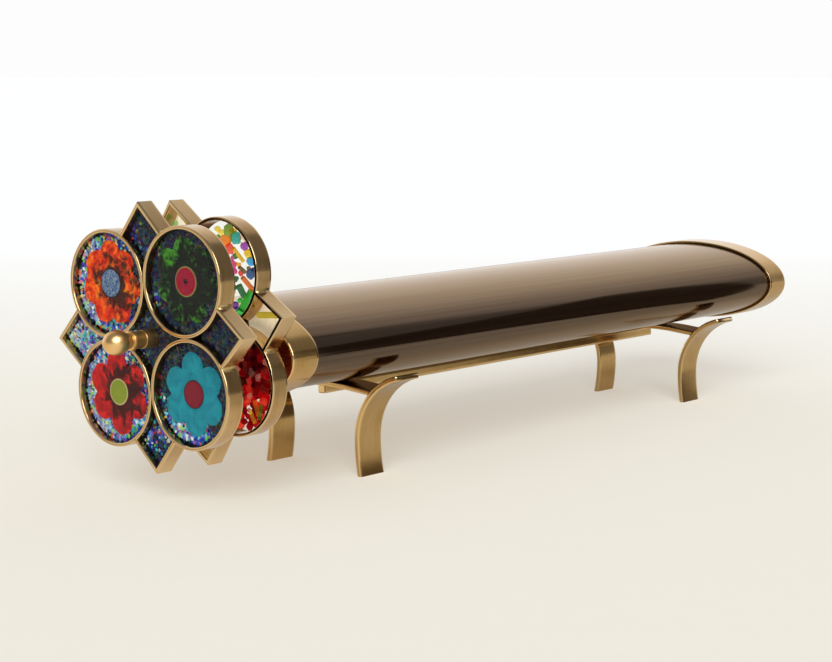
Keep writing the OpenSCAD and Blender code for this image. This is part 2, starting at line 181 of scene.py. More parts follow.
def brushed_brass(name, shade, middle, light, line, bare):
    """Brushed brass in the tones of its age: shade, middle and light bloom, lines and bare corners."""
    made, tree = material(name)
    brushed = add(tree, "ShaderNodeAttribute", attribute_name="brush")
    worn = add(tree, "ShaderNodeAttribute", attribute_name="wear")
    place = add(tree, "ShaderNodeTexCoord")
    drawn_out = add(tree, "ShaderNodeMapping", {
        "Vector": brushed.outputs["Vector"], "Scale": (1 / line_length, 1 / line_pitch, 1)})
    lines = add(tree, "ShaderNodeTexNoise", {
        "Vector": drawn_out.outputs[0], "Scale": 1.0, "Detail": 3.0, "Roughness": 0.6})
    bloom = add(tree, "ShaderNodeTexNoise", {
        "Vector": place.outputs["Object"], "Scale": 1 / (bloom_size * mm), "Detail": 4.0})
    aged = add(tree, "ShaderNodeValToRGB", {"Fac": bloom.outputs["Fac"]},
               stops=[(0.3, shade), (0.52, middle), (0.75, light)])
    faint = add(tree, "ShaderNodeMapRange", {
        "Value": lines.outputs["Fac"], "From Min": 0.3, "From Max": 0.6, "To Min": 0.45, "To Max": 1.0})
    streaked = add(tree, "ShaderNodeMix", {0: faint.outputs[0], 6: linear(line), 7: aged.outputs["Color"]},
                   data_type="RGBA")
    bared = add(tree, "ShaderNodeMix", {0: worn.outputs["Fac"], 6: streaked.outputs[2], 7: linear(bare)},
                data_type="RGBA")
    dulled = add(tree, "ShaderNodeMapRange", {
        "Value": lines.outputs["Fac"], "From Min": 0.3, "From Max": 0.7, "To Min": 0.14, "To Max": 0.2})
    scored = add(tree, "ShaderNodeBump", {
        "Height": lines.outputs["Fac"], "Strength": 0.06, "Distance": 0.03 * mm})
    brass_skin = add(tree, "ShaderNodeBsdfPrincipled", {
        "Base Color": bared.outputs[2], "Metallic": 1.0, "Roughness": dulled.outputs[0],
        "Normal": scored.outputs[0]})
    add(tree, "ShaderNodeOutputMaterial", {"Surface": brass_skin.outputs[0]})
    return made


satin_brass = brushed_brass("satin_brass_brushed", "#bb9459", "#cba469", "#d3ae77", "#b38b51", "#dfbc85")

leg_section = cut_section(strip_width, leg_thick, filed_corner)


def leg_point(step, thick):
    """A place on a leg's curve, thick mm off the middle of the strip. The first steps go from the floor to
    where it stands upright, and the others round the tighter bend to its top. Gives how far out it is,
    and how high."""
    bend = foot_radius if step < foot_steps else leg_outer_radius
    radius = bend - leg_thick / 2 + thick
    if step < foot_steps:
        angle = math.asin(-leg_curve_z / radius) * (foot_steps - step) / foot_steps
    elif step <= leg_steps:
        angle = (leg_top - filed_corner / radius) * (step - foot_steps) / bend_steps
    else:
        angle = leg_top
    out = leg_curve_y - leg_outer_radius + bend - radius * math.cos(angle)
    return out, leg_curve_z + radius * math.sin(angle)


for end, start in leg_starts.items():
    for hand, side in (("left", -1), ("right", 1)):
        rows = []
        for step in range(leg_steps + 2):
            filed = filed_corner if step > leg_steps else 0.0
            shrink, narrow = 1 - 2 * filed / leg_thick, 1 - 2 * filed / strip_width
            row = []
            for across, thick, _ in leg_section:
                out, high = leg_point(step, thick * shrink)
                row.append((start + strip_width / 2 + across * narrow, side * out, high))
            rows.append(row)
        leg = skin(f"leg_{end}_{hand}_strip", rows, round_wear=[w for _, _, w in leg_section],
                   row_wear=[0.0] * leg_steps + [1.0, 1.0])
        fit(leg, satin_brass, "stand", "brass", f"leg_{end}_{hand}")

# Saddles: the two cross strips that the body lies on, of the same brass strip. The wings are bent down
# a little, and their ends are filed to the round of the legs and soldered there.

saddle_thick = 1.4
seat_height = 24.2
saddle_flat = 9.0
saddle_drop = 1.2
wing_share = 0.6
saddle_wing = leg_curve_y - wing_share * leg_outer_radius
solder_gap = 0.03
halvings = 40
saddle_section = cut_section(strip_width, saddle_thick, filed_corner)


def seat_line(y):
    """Height of a saddle's top, y mm from its middle."""
    slope = saddle_drop / (saddle_wing - saddle_flat)
    return seat_height - max(0.0, abs(y) - saddle_flat) * slope


def meets_leg(below):
    """How far out a saddle's wing reaches, at a depth below its top, before it meets the leg."""
    near, far = saddle_flat, saddle_wing
    for _ in range(halvings):
        y = (near + far) / 2
        gap = math.hypot(leg_curve_y - y, seat_line(y) + below - leg_curve_z) - leg_outer_radius
        near, far = (y, far) if gap > solder_gap else (near, y)
    return near


for end, start in leg_starts.items():
    rows = []
    for station in (-1.0, -0.8, -0.55, -0.3, 0.0, 0.3, 0.55, 0.8, 1.0):
        row = []
        for across, thick, _ in saddle_section:
            below = thick - saddle_thick / 2
            y = station * meets_leg(below)
            row.append((start + strip_width / 2 + across, y, seat_line(y) + below))
        rows.append(row)
    saddle = skin(f"saddle_{end}_strip", rows, round_wear=[w for _, _, w in saddle_section])
    fit(saddle, satin_brass, "stand", "brass", f"saddle_{end}")

# Solder at the stand's joints: a thin fillet of brass-coloured solder runs along both faces of each
# saddle where it meets a leg. It is left as it flowed, a little paler and smoother than the strip.

# Brass solder: pale yellow, satin, with the faint ripple of metal that froze as it ran.
ripple_size = 0.8
solder, tree = material("brass_solder_as_flowed")
place = add(tree, "ShaderNodeTexCoord")
ripple = add(tree, "ShaderNodeTexNoise", {
    "Vector": place.outputs["Object"], "Scale": 1 / (ripple_size * mm), "Detail": 2.0})
pale = add(tree, "ShaderNodeValToRGB", {"Fac": ripple.outputs["Fac"]},
           stops=[(0.35, "#a98a55"), (0.65, "#d9bd86")])
flowed = add(tree, "ShaderNodeBump", {
    "Height": ripple.outputs["Fac"], "Strength": 0.4, "Distance": 0.06 * mm})
solder_skin = add(tree, "ShaderNodeBsdfPrincipled", {
    "Base Color": pale.outputs["Color"], "Metallic": 1.0, "Roughness": 0.3,
    "Normal": flowed.outputs[0]})
add(tree, "ShaderNodeOutputMaterial", {"Surface": solder_skin.outputs[0]})

fillet_root, fillet_end, fillet_taper = 0.15, 0.3, 0.35
fillet_inset = 0.4
under_reach, top_reach = 0.9, 0.7


def keep(name, shape):
    """A named mesh from a shape that was built up."""
    mesh = bpy.data.meshes.new(name)
    shape.to_mesh(mesh)
    shape.free()
    return mesh


def one_mesh(name, pieces):
    """One mesh from several pieces, which leave the scene."""
    shape = bmesh.new()
    for piece in pieces:
        shape.from_mesh(piece.data)
    mesh = keep(name, shape)
    for piece in pieces:
        old = piece.data
        bpy.data.objects.remove(piece)
        bpy.data.meshes.remove(old)
    return mesh


def fillet(name, corner, first, second, start, stop, place_point):
    """A fillet in a corner of two faces, from start to stop along it and thinner at its ends. Points are
    (across, up) in mm."""
    hollow = (first + second + corner) / 3
    deep = corner - fillet_root * ((first + second) / 2 - corner)
    outline = [deep, first, (first + 2 * hollow) / 3, hollow, (second + 2 * hollow) / 3, second]
    rows = []
    for along, size in ((start, fillet_end), (start + fillet_taper, 1), (stop - fillet_taper, 1),
                        (stop, fillet_end)):
        rows.append([place_point(*(deep + (p - deep) * size), along) for p in outline])
    return skin(name, rows)


curve_middle = Vector((leg_curve_y, leg_curve_z))
fillets = []
for end, start in leg_starts.items():
    for side in (-1, 1):
        for below, way, reach in ((-saddle_thick, -1, under_reach), (0.0, 1, top_reach)):
            y = meets_leg(below)
            corner = Vector((y, seat_line(y) + below))
            on_saddle = Vector((y - reach, seat_line(y - reach) + below))
            turn = Matrix.Rotation(-way * reach / leg_outer_radius, 2)
            on_leg = curve_middle + turn @ (corner - curve_middle)
            fillets.append(fillet("fillet", corner, on_saddle, on_leg, start + fillet_inset,
                                  start + strip_width - fillet_inset,
                                  lambda across, up, x, s=side: (x, s * across, up)))
stand_solder = set_out("stand_solder", one_mesh("stand_solder", fillets))
fit(stand_solder, solder, "stand", "brass")

# Stretcher: one drawn brass bar of 2.4 by 2.8 mm under both saddles. It ties the two pairs of legs
# together and is soldered flat against the underside of each saddle.

bar_width, bar_height = 2.4, 2.8
bar_start, bar_stop = -58.4, 97.8
bar_corner, bar_end_size, bar_worn_end = 0.3, 0.8, 1.0
bar_section = cut_section(bar_width, bar_height, bar_corner)
bar_z = seat_height - saddle_thick - bar_height / 2
rows, bar_wear = [], []
for x, size, wear in ((bar_start, bar_end_size, 1.0), (bar_start + bar_corner, 1.0, 1.0),
                      (bar_start + bar_worn_end, 1.0, 0.0), (0.0, 1.0, 0.0), (50.0, 1.0, 0.0),
                      (bar_stop - bar_worn_end, 1.0, 0.0), (bar_stop - bar_corner, 1.0, 1.0),
                      (bar_stop, bar_end_size, 1.0)):
    rows.append([(x, across * size, bar_z + up * size) for across, up, _ in bar_section])
    bar_wear.append(wear)
stretcher = skin("stretcher_drawn_bar", rows, round_wear=[w for _, _, w in bar_section], row_wear=bar_wear)
fit(stretcher, satin_brass, "stand", "brass", "stretcher_bar")

# Body: a drawn oval tube with 1 mm walls, browned and lacquered to a high gloss. It lies on the saddles
# by its own weight, and its two ends are closed by the bands and the plates inside them.

body_z = 36.1
tube_half_width, tube_half_height, tube_wall = 29.0, 11.8, 1.0
tube_start, tube_stop = -96.7, 130.1
tube_steps, oval_points = 12, 160


def full_turn(points):
    """The cosine and sine of even steps all the way round."""
    angles = [2 * math.pi * k / points for k in range(points)]
    return [(math.cos(angle), math.sin(angle)) for angle in angles]


def oval(x, out):
    """The tube's oval at x, out mm beyond it all round."""
    return [(x, (tube_half_width + out) * cos, body_z + (tube_half_height + out) * sin)
            for cos, sin in full_turn(oval_points)]


# Browned brass under clear lacquer: nearly black brown that mirrors its surroundings in dark bronze,
# with faint streaks left by the drawing along the tube and a little dust on the gloss. The streaks are
# drawn 1.2 mm wide, because the real ones are too fine to show, and the dust specks 0.35 mm, with about
# nine times that between them.
streak_width, streak_length, cloud_size, speck_size = 1.2, 120.0, 26.0, 0.35
speck_spread = 9
bronze_lacquer, tree = material("browned_brass_gloss_lacquer")
place = add(tree, "ShaderNodeTexCoord")
drawn_out = add(tree, "ShaderNodeMapping", {
    "Vector": place.outputs["Object"],
    "Scale": (1 / (streak_length * mm), 1 / (streak_width * mm), 1 / (streak_width * mm))})
streaks = add(tree, "ShaderNodeTexNoise", {"Vector": drawn_out.outputs[0], "Scale": 1.0, "Detail": 3.0})
clouds = add(tree, "ShaderNodeTexNoise", {
    "Vector": place.outputs["Object"], "Scale": 1 / (cloud_size * mm), "Detail": 3.0})
specks = add(tree, "ShaderNodeTexVoronoi", {
    "Vector": place.outputs["Object"], "Scale": 1 / (speck_spread * speck_size * mm)})
dust = add(tree, "ShaderNodeMapRange", {
    "Value": specks.outputs["Distance"], "From Min": 0.03, "From Max": 0.07, "To Min": 1.0, "To Max": 0.0})
few = add(tree, "ShaderNodeMapRange", {
    "Value": clouds.outputs["Fac"], "From Min": 0.5, "From Max": 0.62, "To Min": 0.0, "To Max": 0.5})
dusty = add(tree, "ShaderNodeMath", {0: dust.outputs[0], 1: few.outputs[0]}, operation="MULTIPLY")
bronze = add(tree, "ShaderNodeValToRGB", {"Fac": streaks.outputs["Fac"]},
             stops=[(0.3, "#604e42"), (0.5, "#69584b"), (0.72, "#6f5f52")])
speckled = add(tree, "ShaderNodeMix", {0: dusty.outputs[0], 6: bronze.outputs["Color"],
               7: linear("#a89880")}, data_type="RGBA")
glossy = add(tree, "ShaderNodeMapRange", {
    "Value": streaks.outputs["Fac"], "From Min": 0.3, "From Max": 0.7, "To Min": 0.09, "To Max": 0.16})
drawn = add(tree, "ShaderNodeBump", {
    "Height": streaks.outputs["Fac"], "Strength": 0.12, "Distance": 0.02 * mm})
tube_skin = add(tree, "ShaderNodeBsdfPrincipled", {
    "Base Color": speckled.outputs[2], "Metallic": 1.0, "Roughness": glossy.outputs[0],
    "Specular Tint": linear("#ffeedb"), "Normal": drawn.outputs[0]})
add(tree, "ShaderNodeOutputMaterial", {"Surface": tube_skin.outputs[0]})

tube_rows = [oval(tube_start + (tube_stop - tube_start) * step / tube_steps, 0)
             for step in range(tube_steps + 1)]
tube_rows += [oval(tube_stop, -tube_wall), oval(tube_start, -tube_wall)]
tube = skin("body_oval_tube", tube_rows, closed=True)
fit(tube, bronze_lacquer, "scope", "dark_lacquer", "body_tube")

# Bands: an oval brass band round each end of the tube, its rims rounded and handled bright. Each is
# bent from strip, soldered into a hoop and cemented on, so that its rim stands past the end plate.

band_length, band_wall, band_corner = 9.0, 0.8, 0.26
band_starts = {"front": -99.8, "rear": 124.2}
cement_gap = 0.03
band_section = cut_section(band_length, band_wall, band_corner)
band_wear = [w for _, _, w in band_section]
for end, start in band_starts.items():
    rows = [oval(start + band_length / 2 + along, cement_gap + band_wall / 2 + out)
            for along, out, _ in band_section]
    band = skin(f"{end}_band_hoop", rows, row_wear=band_wear, closed=True, along=False)
    fit(band, satin_brass, "scope", "brass", f"{end}_band")

# End plates: flat oval brass plates that close the tube inside the bands. The front one has the window
# of the mirrors and the axle's hole, and the rear one has the eyehole. Both are brushed straight across.

# Brushed sheet brass: straight lines across the plate, dull tan. The lines are drawn 0.35 mm apart.
plate_pitch = 0.35
sheet_brass, tree = material("sheet_brass_brushed_across")
place = add(tree, "ShaderNodeTexCoord")
drawn_out = add(tree, "ShaderNodeMapping", {
    "Vector": place.outputs["Object"],
    "Scale": (1 / (plate_pitch * mm), 1 / (line_length * mm), 1 / (plate_pitch * mm))})
lines = add(tree, "ShaderNodeTexNoise", {"Vector": drawn_out.outputs[0], "Scale": 1.0, "Detail": 3.0})
tan = add(tree, "ShaderNodeValToRGB", {"Fac": lines.outputs["Fac"]},
          stops=[(0.3, "#9d7a45"), (0.7, "#d0ab6d")])
scored = add(tree, "ShaderNodeBump", {
    "Height": lines.outputs["Fac"], "Strength": 0.3, "Distance": 0.03 * mm})
plate_skin = add(tree, "ShaderNodeBsdfPrincipled", {
    "Base Color": tan.outputs["Color"], "Metallic": 1.0, "Roughness": 0.32, "Normal": scored.outputs[0]})
add(tree, "ShaderNodeOutputMaterial", {"Surface": plate_skin.outputs[0]})


def dress(finish, *nodes):
    """Gives CAD nodes that keep their own shape a finish."""
    for node in nodes:
        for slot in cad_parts[node].material_slots:
            slot.material = finish


dress(sheet_brass, "front_plate", "rear_plate")

# Window and eye lens: clear glass behind the openings of the two end plates. They are cemented in from
# inside, so only their polished faces show through the openings.

# Clear window glass: it shows what is behind it, with a mirrored sheen at a slant and a few faint smears
# left by cleaning, drawn about 5 mm across.
smear_size = 5.0
clear_glass, tree = material("clear_window_glass")
place = add(tree, "ShaderNodeTexCoord")
smears = add(tree, "ShaderNodeTexNoise", {
    "Vector": place.outputs["Object"], "Scale": 1 / (smear_size * mm), "Detail": 2.0})
smeared = add(tree, "ShaderNodeMapRange", {
    "Value": smears.outputs["Fac"], "From Min": 0.4, "From Max": 0.75, "To Min": 0.02, "To Max": 0.1})
open_glass = add(tree, "ShaderNodeBsdfTransparent", {"Color": linear("#fdfdfb")})
shine = add(tree, "ShaderNodeBsdfGlossy", {"Color": (1, 1, 1, 1), "Roughness": smeared.outputs[0]})
slant = add(tree, "ShaderNodeLayerWeight", {"Blend": 0.008})
glass_skin = add(tree, "ShaderNodeMixShader", {0: slant.outputs["Facing"], 1: open_glass.outputs[0],
                 2: shine.outputs[0]})
add(tree, "ShaderNodeOutputMaterial", {"Surface": glass_skin.outputs[0]})
dress(clear_glass, "object_window", "eye_lens")

# Mirrors: two long strips of front-surface mirror lie on their side in the tube, close to fifteen
# degrees apart, with a black card strip across their open side and a foam packing at each end.

# Mirror silvering: nearly white, sharp, with the faintest unevenness of old coating, 18 mm across.
haze_size = 18.0
mirror, tree = material("front_surface_mirror")
place = add(tree, "ShaderNodeTexCoord")
haze = add(tree, "ShaderNodeTexNoise", {
    "Vector": place.outputs["Object"], "Scale": 1 / (haze_size * mm), "Detail": 3.0})
silvered = add(tree, "ShaderNodeValToRGB", {"Fac": haze.outputs["Fac"]},
               stops=[(0.3, "#dfe3e4"), (0.7, "#f1f3f2")])
mirror_skin = add(tree, "ShaderNodeBsdfPrincipled", {
    "Base Color": silvered.outputs["Color"], "Metallic": 1.0, "Roughness": 0.03})
add(tree, "ShaderNodeOutputMaterial", {"Surface": mirror_skin.outputs[0]})
dress(mirror, "mirror_upper", "mirror_lower")

# Black card: dull black paper board, with its fibres just showing. They are drawn 0.6 mm apart.
fibre_size = 0.6
black_card, tree = material("black_card_board")
place = add(tree, "ShaderNodeTexCoord")
fibres = add(tree, "ShaderNodeTexNoise", {
    "Vector": place.outputs["Object"], "Scale": 1 / (fibre_size * mm), "Detail": 5.0, "Roughness": 0.7})
inked = add(tree, "ShaderNodeValToRGB", {"Fac": fibres.outputs["Fac"]},
            stops=[(0.3, "#141414"), (0.7, "#242322")])
felted = add(tree, "ShaderNodeBump", {
    "Height": fibres.outputs["Fac"], "Strength": 0.4, "Distance": 0.05 * mm})
card_skin = add(tree, "ShaderNodeBsdfPrincipled", {
    "Base Color": inked.outputs["Color"], "Roughness": 0.9, "Normal": felted.outputs[0]})
add(tree, "ShaderNodeOutputMaterial", {"Surface": card_skin.outputs[0]})
dress(black_card, "mirror_side_strip")

# Closed-cell foam: charcoal, matt, pitted by cells of about 0.9 mm.
foam_cell = 0.9
foam, tree = material("closed_cell_foam")
place = add(tree, "ShaderNodeTexCoord")
cells = add(tree, "ShaderNodeTexVoronoi", {
    "Vector": place.outputs["Object"], "Scale": 1 / (foam_cell * mm)})
pitted = add(tree, "ShaderNodeValToRGB", {"Fac": cells.outputs["Distance"]},
             stops=[(0.1, "#0f0f10"), (0.7, "#2c2c2d")])
dented = add(tree, "ShaderNodeBump", {
    "Height": cells.outputs["Distance"], "Strength": 0.7, "Distance": 0.2 * mm})
foam_skin = add(tree, "ShaderNodeBsdfPrincipled", {
    "Base Color": pitted.outputs["Color"], "Roughness": 0.95, "Normal": dented.outputs[0]})
add(tree, "ShaderNodeOutputMaterial", {"Surface": foam_skin.outputs[0]})
dress(foam, "mirror_packing_front", "mirror_packing_rear")

# Eyepiece ring: a turned brass ring cemented round the eyehole on the rear plate, its edges rounded
# for the eye socket.


def lathe_rows(line, centre_z, points):
    """Rows of points that a line of (x, radius) in mm makes as it turns on the lathe."""
    return [[(x, radius * cos, centre_z + radius * sin) for cos, sin in full_turn(points)]
            for x, radius in line]


def hoop(name, start, stop, outer, bore, corner, centre_z, points=64):
    """A turned ring along X with rounded corners, its sizes in mm."""
    section = cut_section(stop - start, outer - bore, corner)
    line = [((start + stop) / 2 + along, (outer + bore) / 2 + out) for along, out, _ in section]
    return skin(name, lathe_rows(line, centre_z, points), row_wear=[w for _, _, w in section],
                closed=True, along=False)


eyepiece_start, eyepiece_stop = 131.6, 133.0
eyepiece_radius, eyehole_radius, eyepiece_corner = 8.0, 5.5, 0.5
eyepiece = hoop("eyepiece_turned_ring", eyepiece_start, eyepiece_stop, eyepiece_radius, eyehole_radius,
                eyepiece_corner, body_z)
fit(eyepiece, satin_brass, "scope", "brass", "eyepiece_ring")

# Axle: a 3 mm brass rod through the front plate, held by a nut inside. Two turned spacers keep the
# wheels apart and clear of the body.

axle_z = 41.1
lathe_points = 48

# Turned brass rod: bright, with close rings left by the lathe. They are drawn 0.3 mm apart.
lathe_pitch, lathe_length = 0.3, 12.0
turned_brass, tree = material("turned_brass_rod")
place = add(tree, "ShaderNodeTexCoord")
drawn_out = add(tree, "ShaderNodeMapping", {
    "Vector": place.outputs["Object"],
    "Scale": (1 / (lathe_pitch * mm), 1 / (lathe_length * mm), 1 / (lathe_length * mm))})
rings_cut = add(tree, "ShaderNodeTexNoise", {"Vector": drawn_out.outputs[0], "Scale": 1.0, "Detail": 2.0})
lathe_tan = add(tree, "ShaderNodeValToRGB", {"Fac": rings_cut.outputs["Fac"]},
                stops=[(0.3, "#c89a58"), (0.7, "#efcb8e")])
rod_skin = add(tree, "ShaderNodeBsdfPrincipled", {
    "Base Color": lathe_tan.outputs["Color"], "Metallic": 1.0, "Roughness": 0.34})
add(tree, "ShaderNodeOutputMaterial", {"Surface": rod_skin.outputs[0]})
dress(turned_brass, "axle", "axle_nut")

spacer_radius, spacer_bore, spacer_corner = 2.7, 1.53, 0.25
spacer_ends = {"middle_spacer": (-114.3, -108.2), "rear_spacer": (-100.6, -98.2)}
for spacer, (start, stop) in spacer_ends.items():
    sleeve = hoop(f"{spacer}_sleeve", start, stop, spacer_radius, spacer_bore, spacer_corner, axle_z,
                  lathe_points)
    fit(sleeve, satin_brass, "scope", "brass", spacer)

# Wheel frames: each wheel is four rings of 27 mm and four points of the same brass strip, soldered edge
# to edge. The rings are bent round and butted, and the points are folded to a sharp tip.

ring_pitch, ring_radius, rim_wall, rim_depth = 13.53, 13.5, 0.9, 5.0
tip_radius, tip_half_angle = 33.2, math.radians(43)
rim_corner = 0.2
ring_points = 96
point_lap = 0.3
seam_on_ring, seam_on_point, seam_inset = 0.8, 0.7, 0.25
# Each wheel's place along the axle in mm, and its turn at rest in degrees.
wheel_places = {"front": (-120.0, -4.7), "rear": (-106.3, -10.9)}


def on_wheel(wheel):
    """Stands a wheel, drawn flat round the axle, up at its place with the turn that it rests at."""
    x, turn = wheel_places[wheel]
    upright = Matrix(((0, 0, 1, 0), (1, 0, 0, 0), (0, 1, 0, 0), (0, 0, 0, 1)))
    return (Matrix.Translation((x * mm, 0, axle_z * mm))
            @ Matrix.Rotation(math.radians(turn), 4, "X") @ upright)


def mount(piece, wheel, finish, slot, *nodes):
    """Stands a piece that was drawn flat up on its wheel, and fits it there."""
    piece.data.transform(on_wheel(wheel))
    fit(piece, finish, f"{wheel}_wheel", slot, *nodes)


def start_tree(name, inputs):
    """A geometry tree with named inputs, and its input node."""
    made = bpy.data.node_groups.new(name, "GeometryNodeTree")
    made.interface.new_socket("Piece", in_out="OUTPUT", socket_type="NodeSocketGeometry")
    for socket, kind in inputs.items():
        made.interface.new_socket(socket, in_out="INPUT", socket_type=kind)
    return made, add(made, "NodeGroupInput")


def grow(name, rule_tree, start, sizes):
    """Runs a geometry tree on a start mesh, and keeps what it makes as a plain mesh."""
    piece = set_out(name, start)
    rule = piece.modifiers.new("rule", "NODES")
    rule.node_group = rule_tree
    for socket in rule_tree.interface.items_tree:
        if socket.in_out == "INPUT" and socket.name in sizes:
            rule[socket.identifier] = sizes[socket.name]
    seen = bpy.context.evaluated_depsgraph_get()
    mesh = bpy.data.meshes.new_from_object(piece.evaluated_get(seen), depsgraph=seen)
    piece.modifiers.remove(rule)
    piece.data = mesh
    mesh.name = name
    return piece


# Sets a piece round the middle, evenly turned.
round_tree, given = start_tree("set_round", {
    "Piece": "NodeSocketGeometry", "Count": "NodeSocketInt", "Finish": "NodeSocketMaterial"})
spots = add(round_tree, "GeometryNodePoints", {"Count": given.outputs["Count"]})
number = add(round_tree, "GeometryNodeInputIndex")
share = add(round_tree, "ShaderNodeMath", {0: number.outputs[0], 1: given.outputs["Count"]},
            operation="DIVIDE")
angle = add(round_tree, "ShaderNodeMath", {0: share.outputs[0], 1: 2 * math.pi}, operation="MULTIPLY")
turned = add(round_tree, "FunctionNodeAxisAngleToRotation", {"Axis": (0, 0, 1), "Angle": angle.outputs[0]})
placed = add(round_tree, "GeometryNodeInstanceOnPoints", {
    "Points": spots.outputs[0], "Instance": given.outputs["Piece"], "Rotation": turned.outputs[0]})
whole = add(round_tree, "GeometryNodeRealizeInstances", {"Geometry": placed.outputs[0]})
finished = add(round_tree, "GeometryNodeSetMaterial", {
    "Geometry": whole.outputs[0], "Material": given.outputs["Finish"]})
add(round_tree, "NodeGroupOutput", {"Piece": finished.outputs[0]})


def crossing(spot, way, centre, radius):
    """How far along a straight line from spot it first meets a circle."""
    back = spot - centre
    half = back.dot(way)
    return -half - math.sqrt(half * half - back.dot(back) + radius * radius)


# Satin brass gone brown: the wheels are handled more than the stand, so their brass has aged browner.
browned_brass = brushed_brass("satin_brass_gone_brown", "#a98656", "#bc9968", "#ccab7b", "#a07d50",
                              "#d7b98a")

ring_section = cut_section(rim_depth, rim_wall, rim_corner)
rim_wear = [w for _, _, w in ring_section]
ring_rows = []
for along, out, _ in ring_section:
    radius = ring_radius - rim_wall / 2 + out
    ring_rows.append([(ring_pitch + radius * cos, ring_pitch + radius * sin, rim_depth / 2 + along)
                      for cos, sin in full_turn(ring_points)])

ring_middle = Vector((ring_pitch, ring_pitch))
right_way = Vector((math.sin(tip_half_angle), -math.cos(tip_half_angle)))
point_rows = []
for side in (1, 0, -1):
    row = []
    for along, out, _ in ring_section:
        spot = Vector((0, tip_radius - (rim_wall / 2 - out) / math.sin(tip_half_angle)))
        if side:
            spot += right_way * crossing(spot, right_way, ring_middle, ring_radius - point_lap)
        row.append((side * spot.x, spot.y, rim_depth / 2 + along))
    point_rows.append(row)

outer_tip = Vector((0, tip_radius))
seam_corner = outer_tip + right_way * crossing(outer_tip, right_way, ring_middle, ring_radius)
spoke = Matrix.Rotation(-seam_on_ring / ring_radius, 2) @ (seam_corner - ring_middle)
wheel_sides = {"front": ("orange", "green", "turquoise", "red"),
               "rear": ("upper_right", "lower_right", "lower_left", "upper_left")}
for wheel, sides in wheel_sides.items():
    ring = skin("ring", ring_rows, row_wear=rim_wear, closed=True, along=False)
    point = skin("point", point_rows, round_wear=rim_wear, row_wear=[0, 0.8, 0])
    wheel_frame = grow(f"{wheel}_wheel_frame", round_tree, one_mesh("quarter", [ring, point]), {
        "Count": 4, "Finish": browned_brass})
    mount(wheel_frame, wheel, browned_brass, "brass", *[f"{wheel}_ring_{side}" for side in sides],
          f"{wheel}_points")
    seams = [fillet("seam", seam_corner, seam_corner - seam_on_point * right_way, ring_middle + spoke,
                    seam_inset, rim_depth - seam_inset,
                    lambda across, up, along, s=side: (s * across, up, along)) for side in (-1, 1)]
    wheel_solder = grow(f"{wheel}_wheel_solder", round_tree, one_mesh("seams", seams), {
        "Count": 4, "Finish": solder})
    mount(wheel_solder, wheel, solder, "brass")

# Hubs: a turned brass sleeve in the middle of each wheel, cemented in its glass. It stands past the wheel
# at both ends and runs free on the axle.

hub_radius, hub_bore, hub_corner, hub_length = 2.3, 1.55, 0.2, 7.4
hub_starts = {"front": -121.8, "rear": -108.1}
for wheel, start in hub_starts.items():
    hub = hoop(f"{wheel}_hub_sleeve", start, start + hub_length, hub_radius, hub_bore, hub_corner, axle_z,
               lathe_points)
    fit(hub, turned_brass, f"{wheel}_wheel", "brass", f"{wheel}_hub")

# Dark ground of the front wheel: the glass slabs that fill the rings, the points and the middle. Each is
# navy glass cast with crushed glass in it, and is cemented in its frame from behind.

cell_radius = 12.57
cell_middles = {"green": (-ring_pitch, ring_pitch), "turquoise": (-ring_pitch, -ring_pitch),
                "red": (ring_pitch, -ring_pitch), "orange": (ring_pitch, ring_pitch)}
glass_front, glass_back = 1.4, 4.6
ground_depth = 1.95
neck_half = 4.0
arc_steps = 12


def round_outline(middle, radius, points=72):
    """Outline of the glass in a ring, or of a round hole in it."""
    return [Vector((middle[0] + radius * cos, middle[1] + radius * sin)) for cos, sin in full_turn(points)]


def point_outline(turn, gap=0.0):
    """Outline of the glass in a point: its two straight sides and the rounds of the rings beside it, down
    to the neck between them."""
    tip = Vector((0, tip_radius - (rim_wall + cement_gap + gap) / math.sin(tip_half_angle)))
    keep_out = ring_pitch + gap
    foot = tip + right_way * crossing(tip, right_way, ring_middle, keep_out)
    first = math.atan2(foot.y - ring_pitch, foot.x - ring_pitch)
    last = math.pi - math.asin((neck_half + gap) / keep_out)
    right = []
    for step in range(arc_steps + 1):
        angle = first + (last - first) * step / arc_steps
        right.append(Vector((ring_pitch + keep_out * math.cos(angle),
                             ring_pitch + keep_out * math.sin(angle))))
    outline = [tip] + right + [Vector((-p.x, p.y)) for p in reversed(right)]
    return [Matrix.Rotation(math.radians(90 * turn), 2) @ p for p in outline]


def middle_outlines(gap=0.0, points=96):
    """Outline of the glass in the middle, between the rings, and of its hole for the hub."""
    outer, hole = [], []
    for cos, sin in full_turn(points):
        way = Vector((cos, sin))
        reach = (ring_pitch - neck_half - gap) / max(abs(way.x), abs(way.y))
        centre = Vector((math.copysign(ring_pitch, way.x), math.copysign(ring_pitch, way.y)))
        half = centre.dot(way)
        inside = half * half - centre.dot(centre) + (ring_pitch + gap) ** 2
        if inside > 0:
            reach = min(reach, half - math.sqrt(inside))
        outer.append(way * reach)
        hole.append(way * (hub_radius + cement_gap + gap))
    return outer, hole


def bridge(shape, first, second):
    """Faces between two lines of corners that each run all the way round."""
    for k in range(len(first)):
        n = (k + 1) % len(first)
        shape.faces.new((first[k], first[n], second[n], second[k]))


def flat_face(shape, outline, hole, depth):
    """A flat face at a depth in mm, from an outline and a hole or None. Gives its lines of corners."""
    lines = [[shape.verts.new((p.x * mm, p.y * mm, depth * mm)) for p in line]
             for line in (outline, hole) if line]
    if hole:
        bridge(shape, *lines)
    else:
        shape.faces.new(lines[0])
    return lines


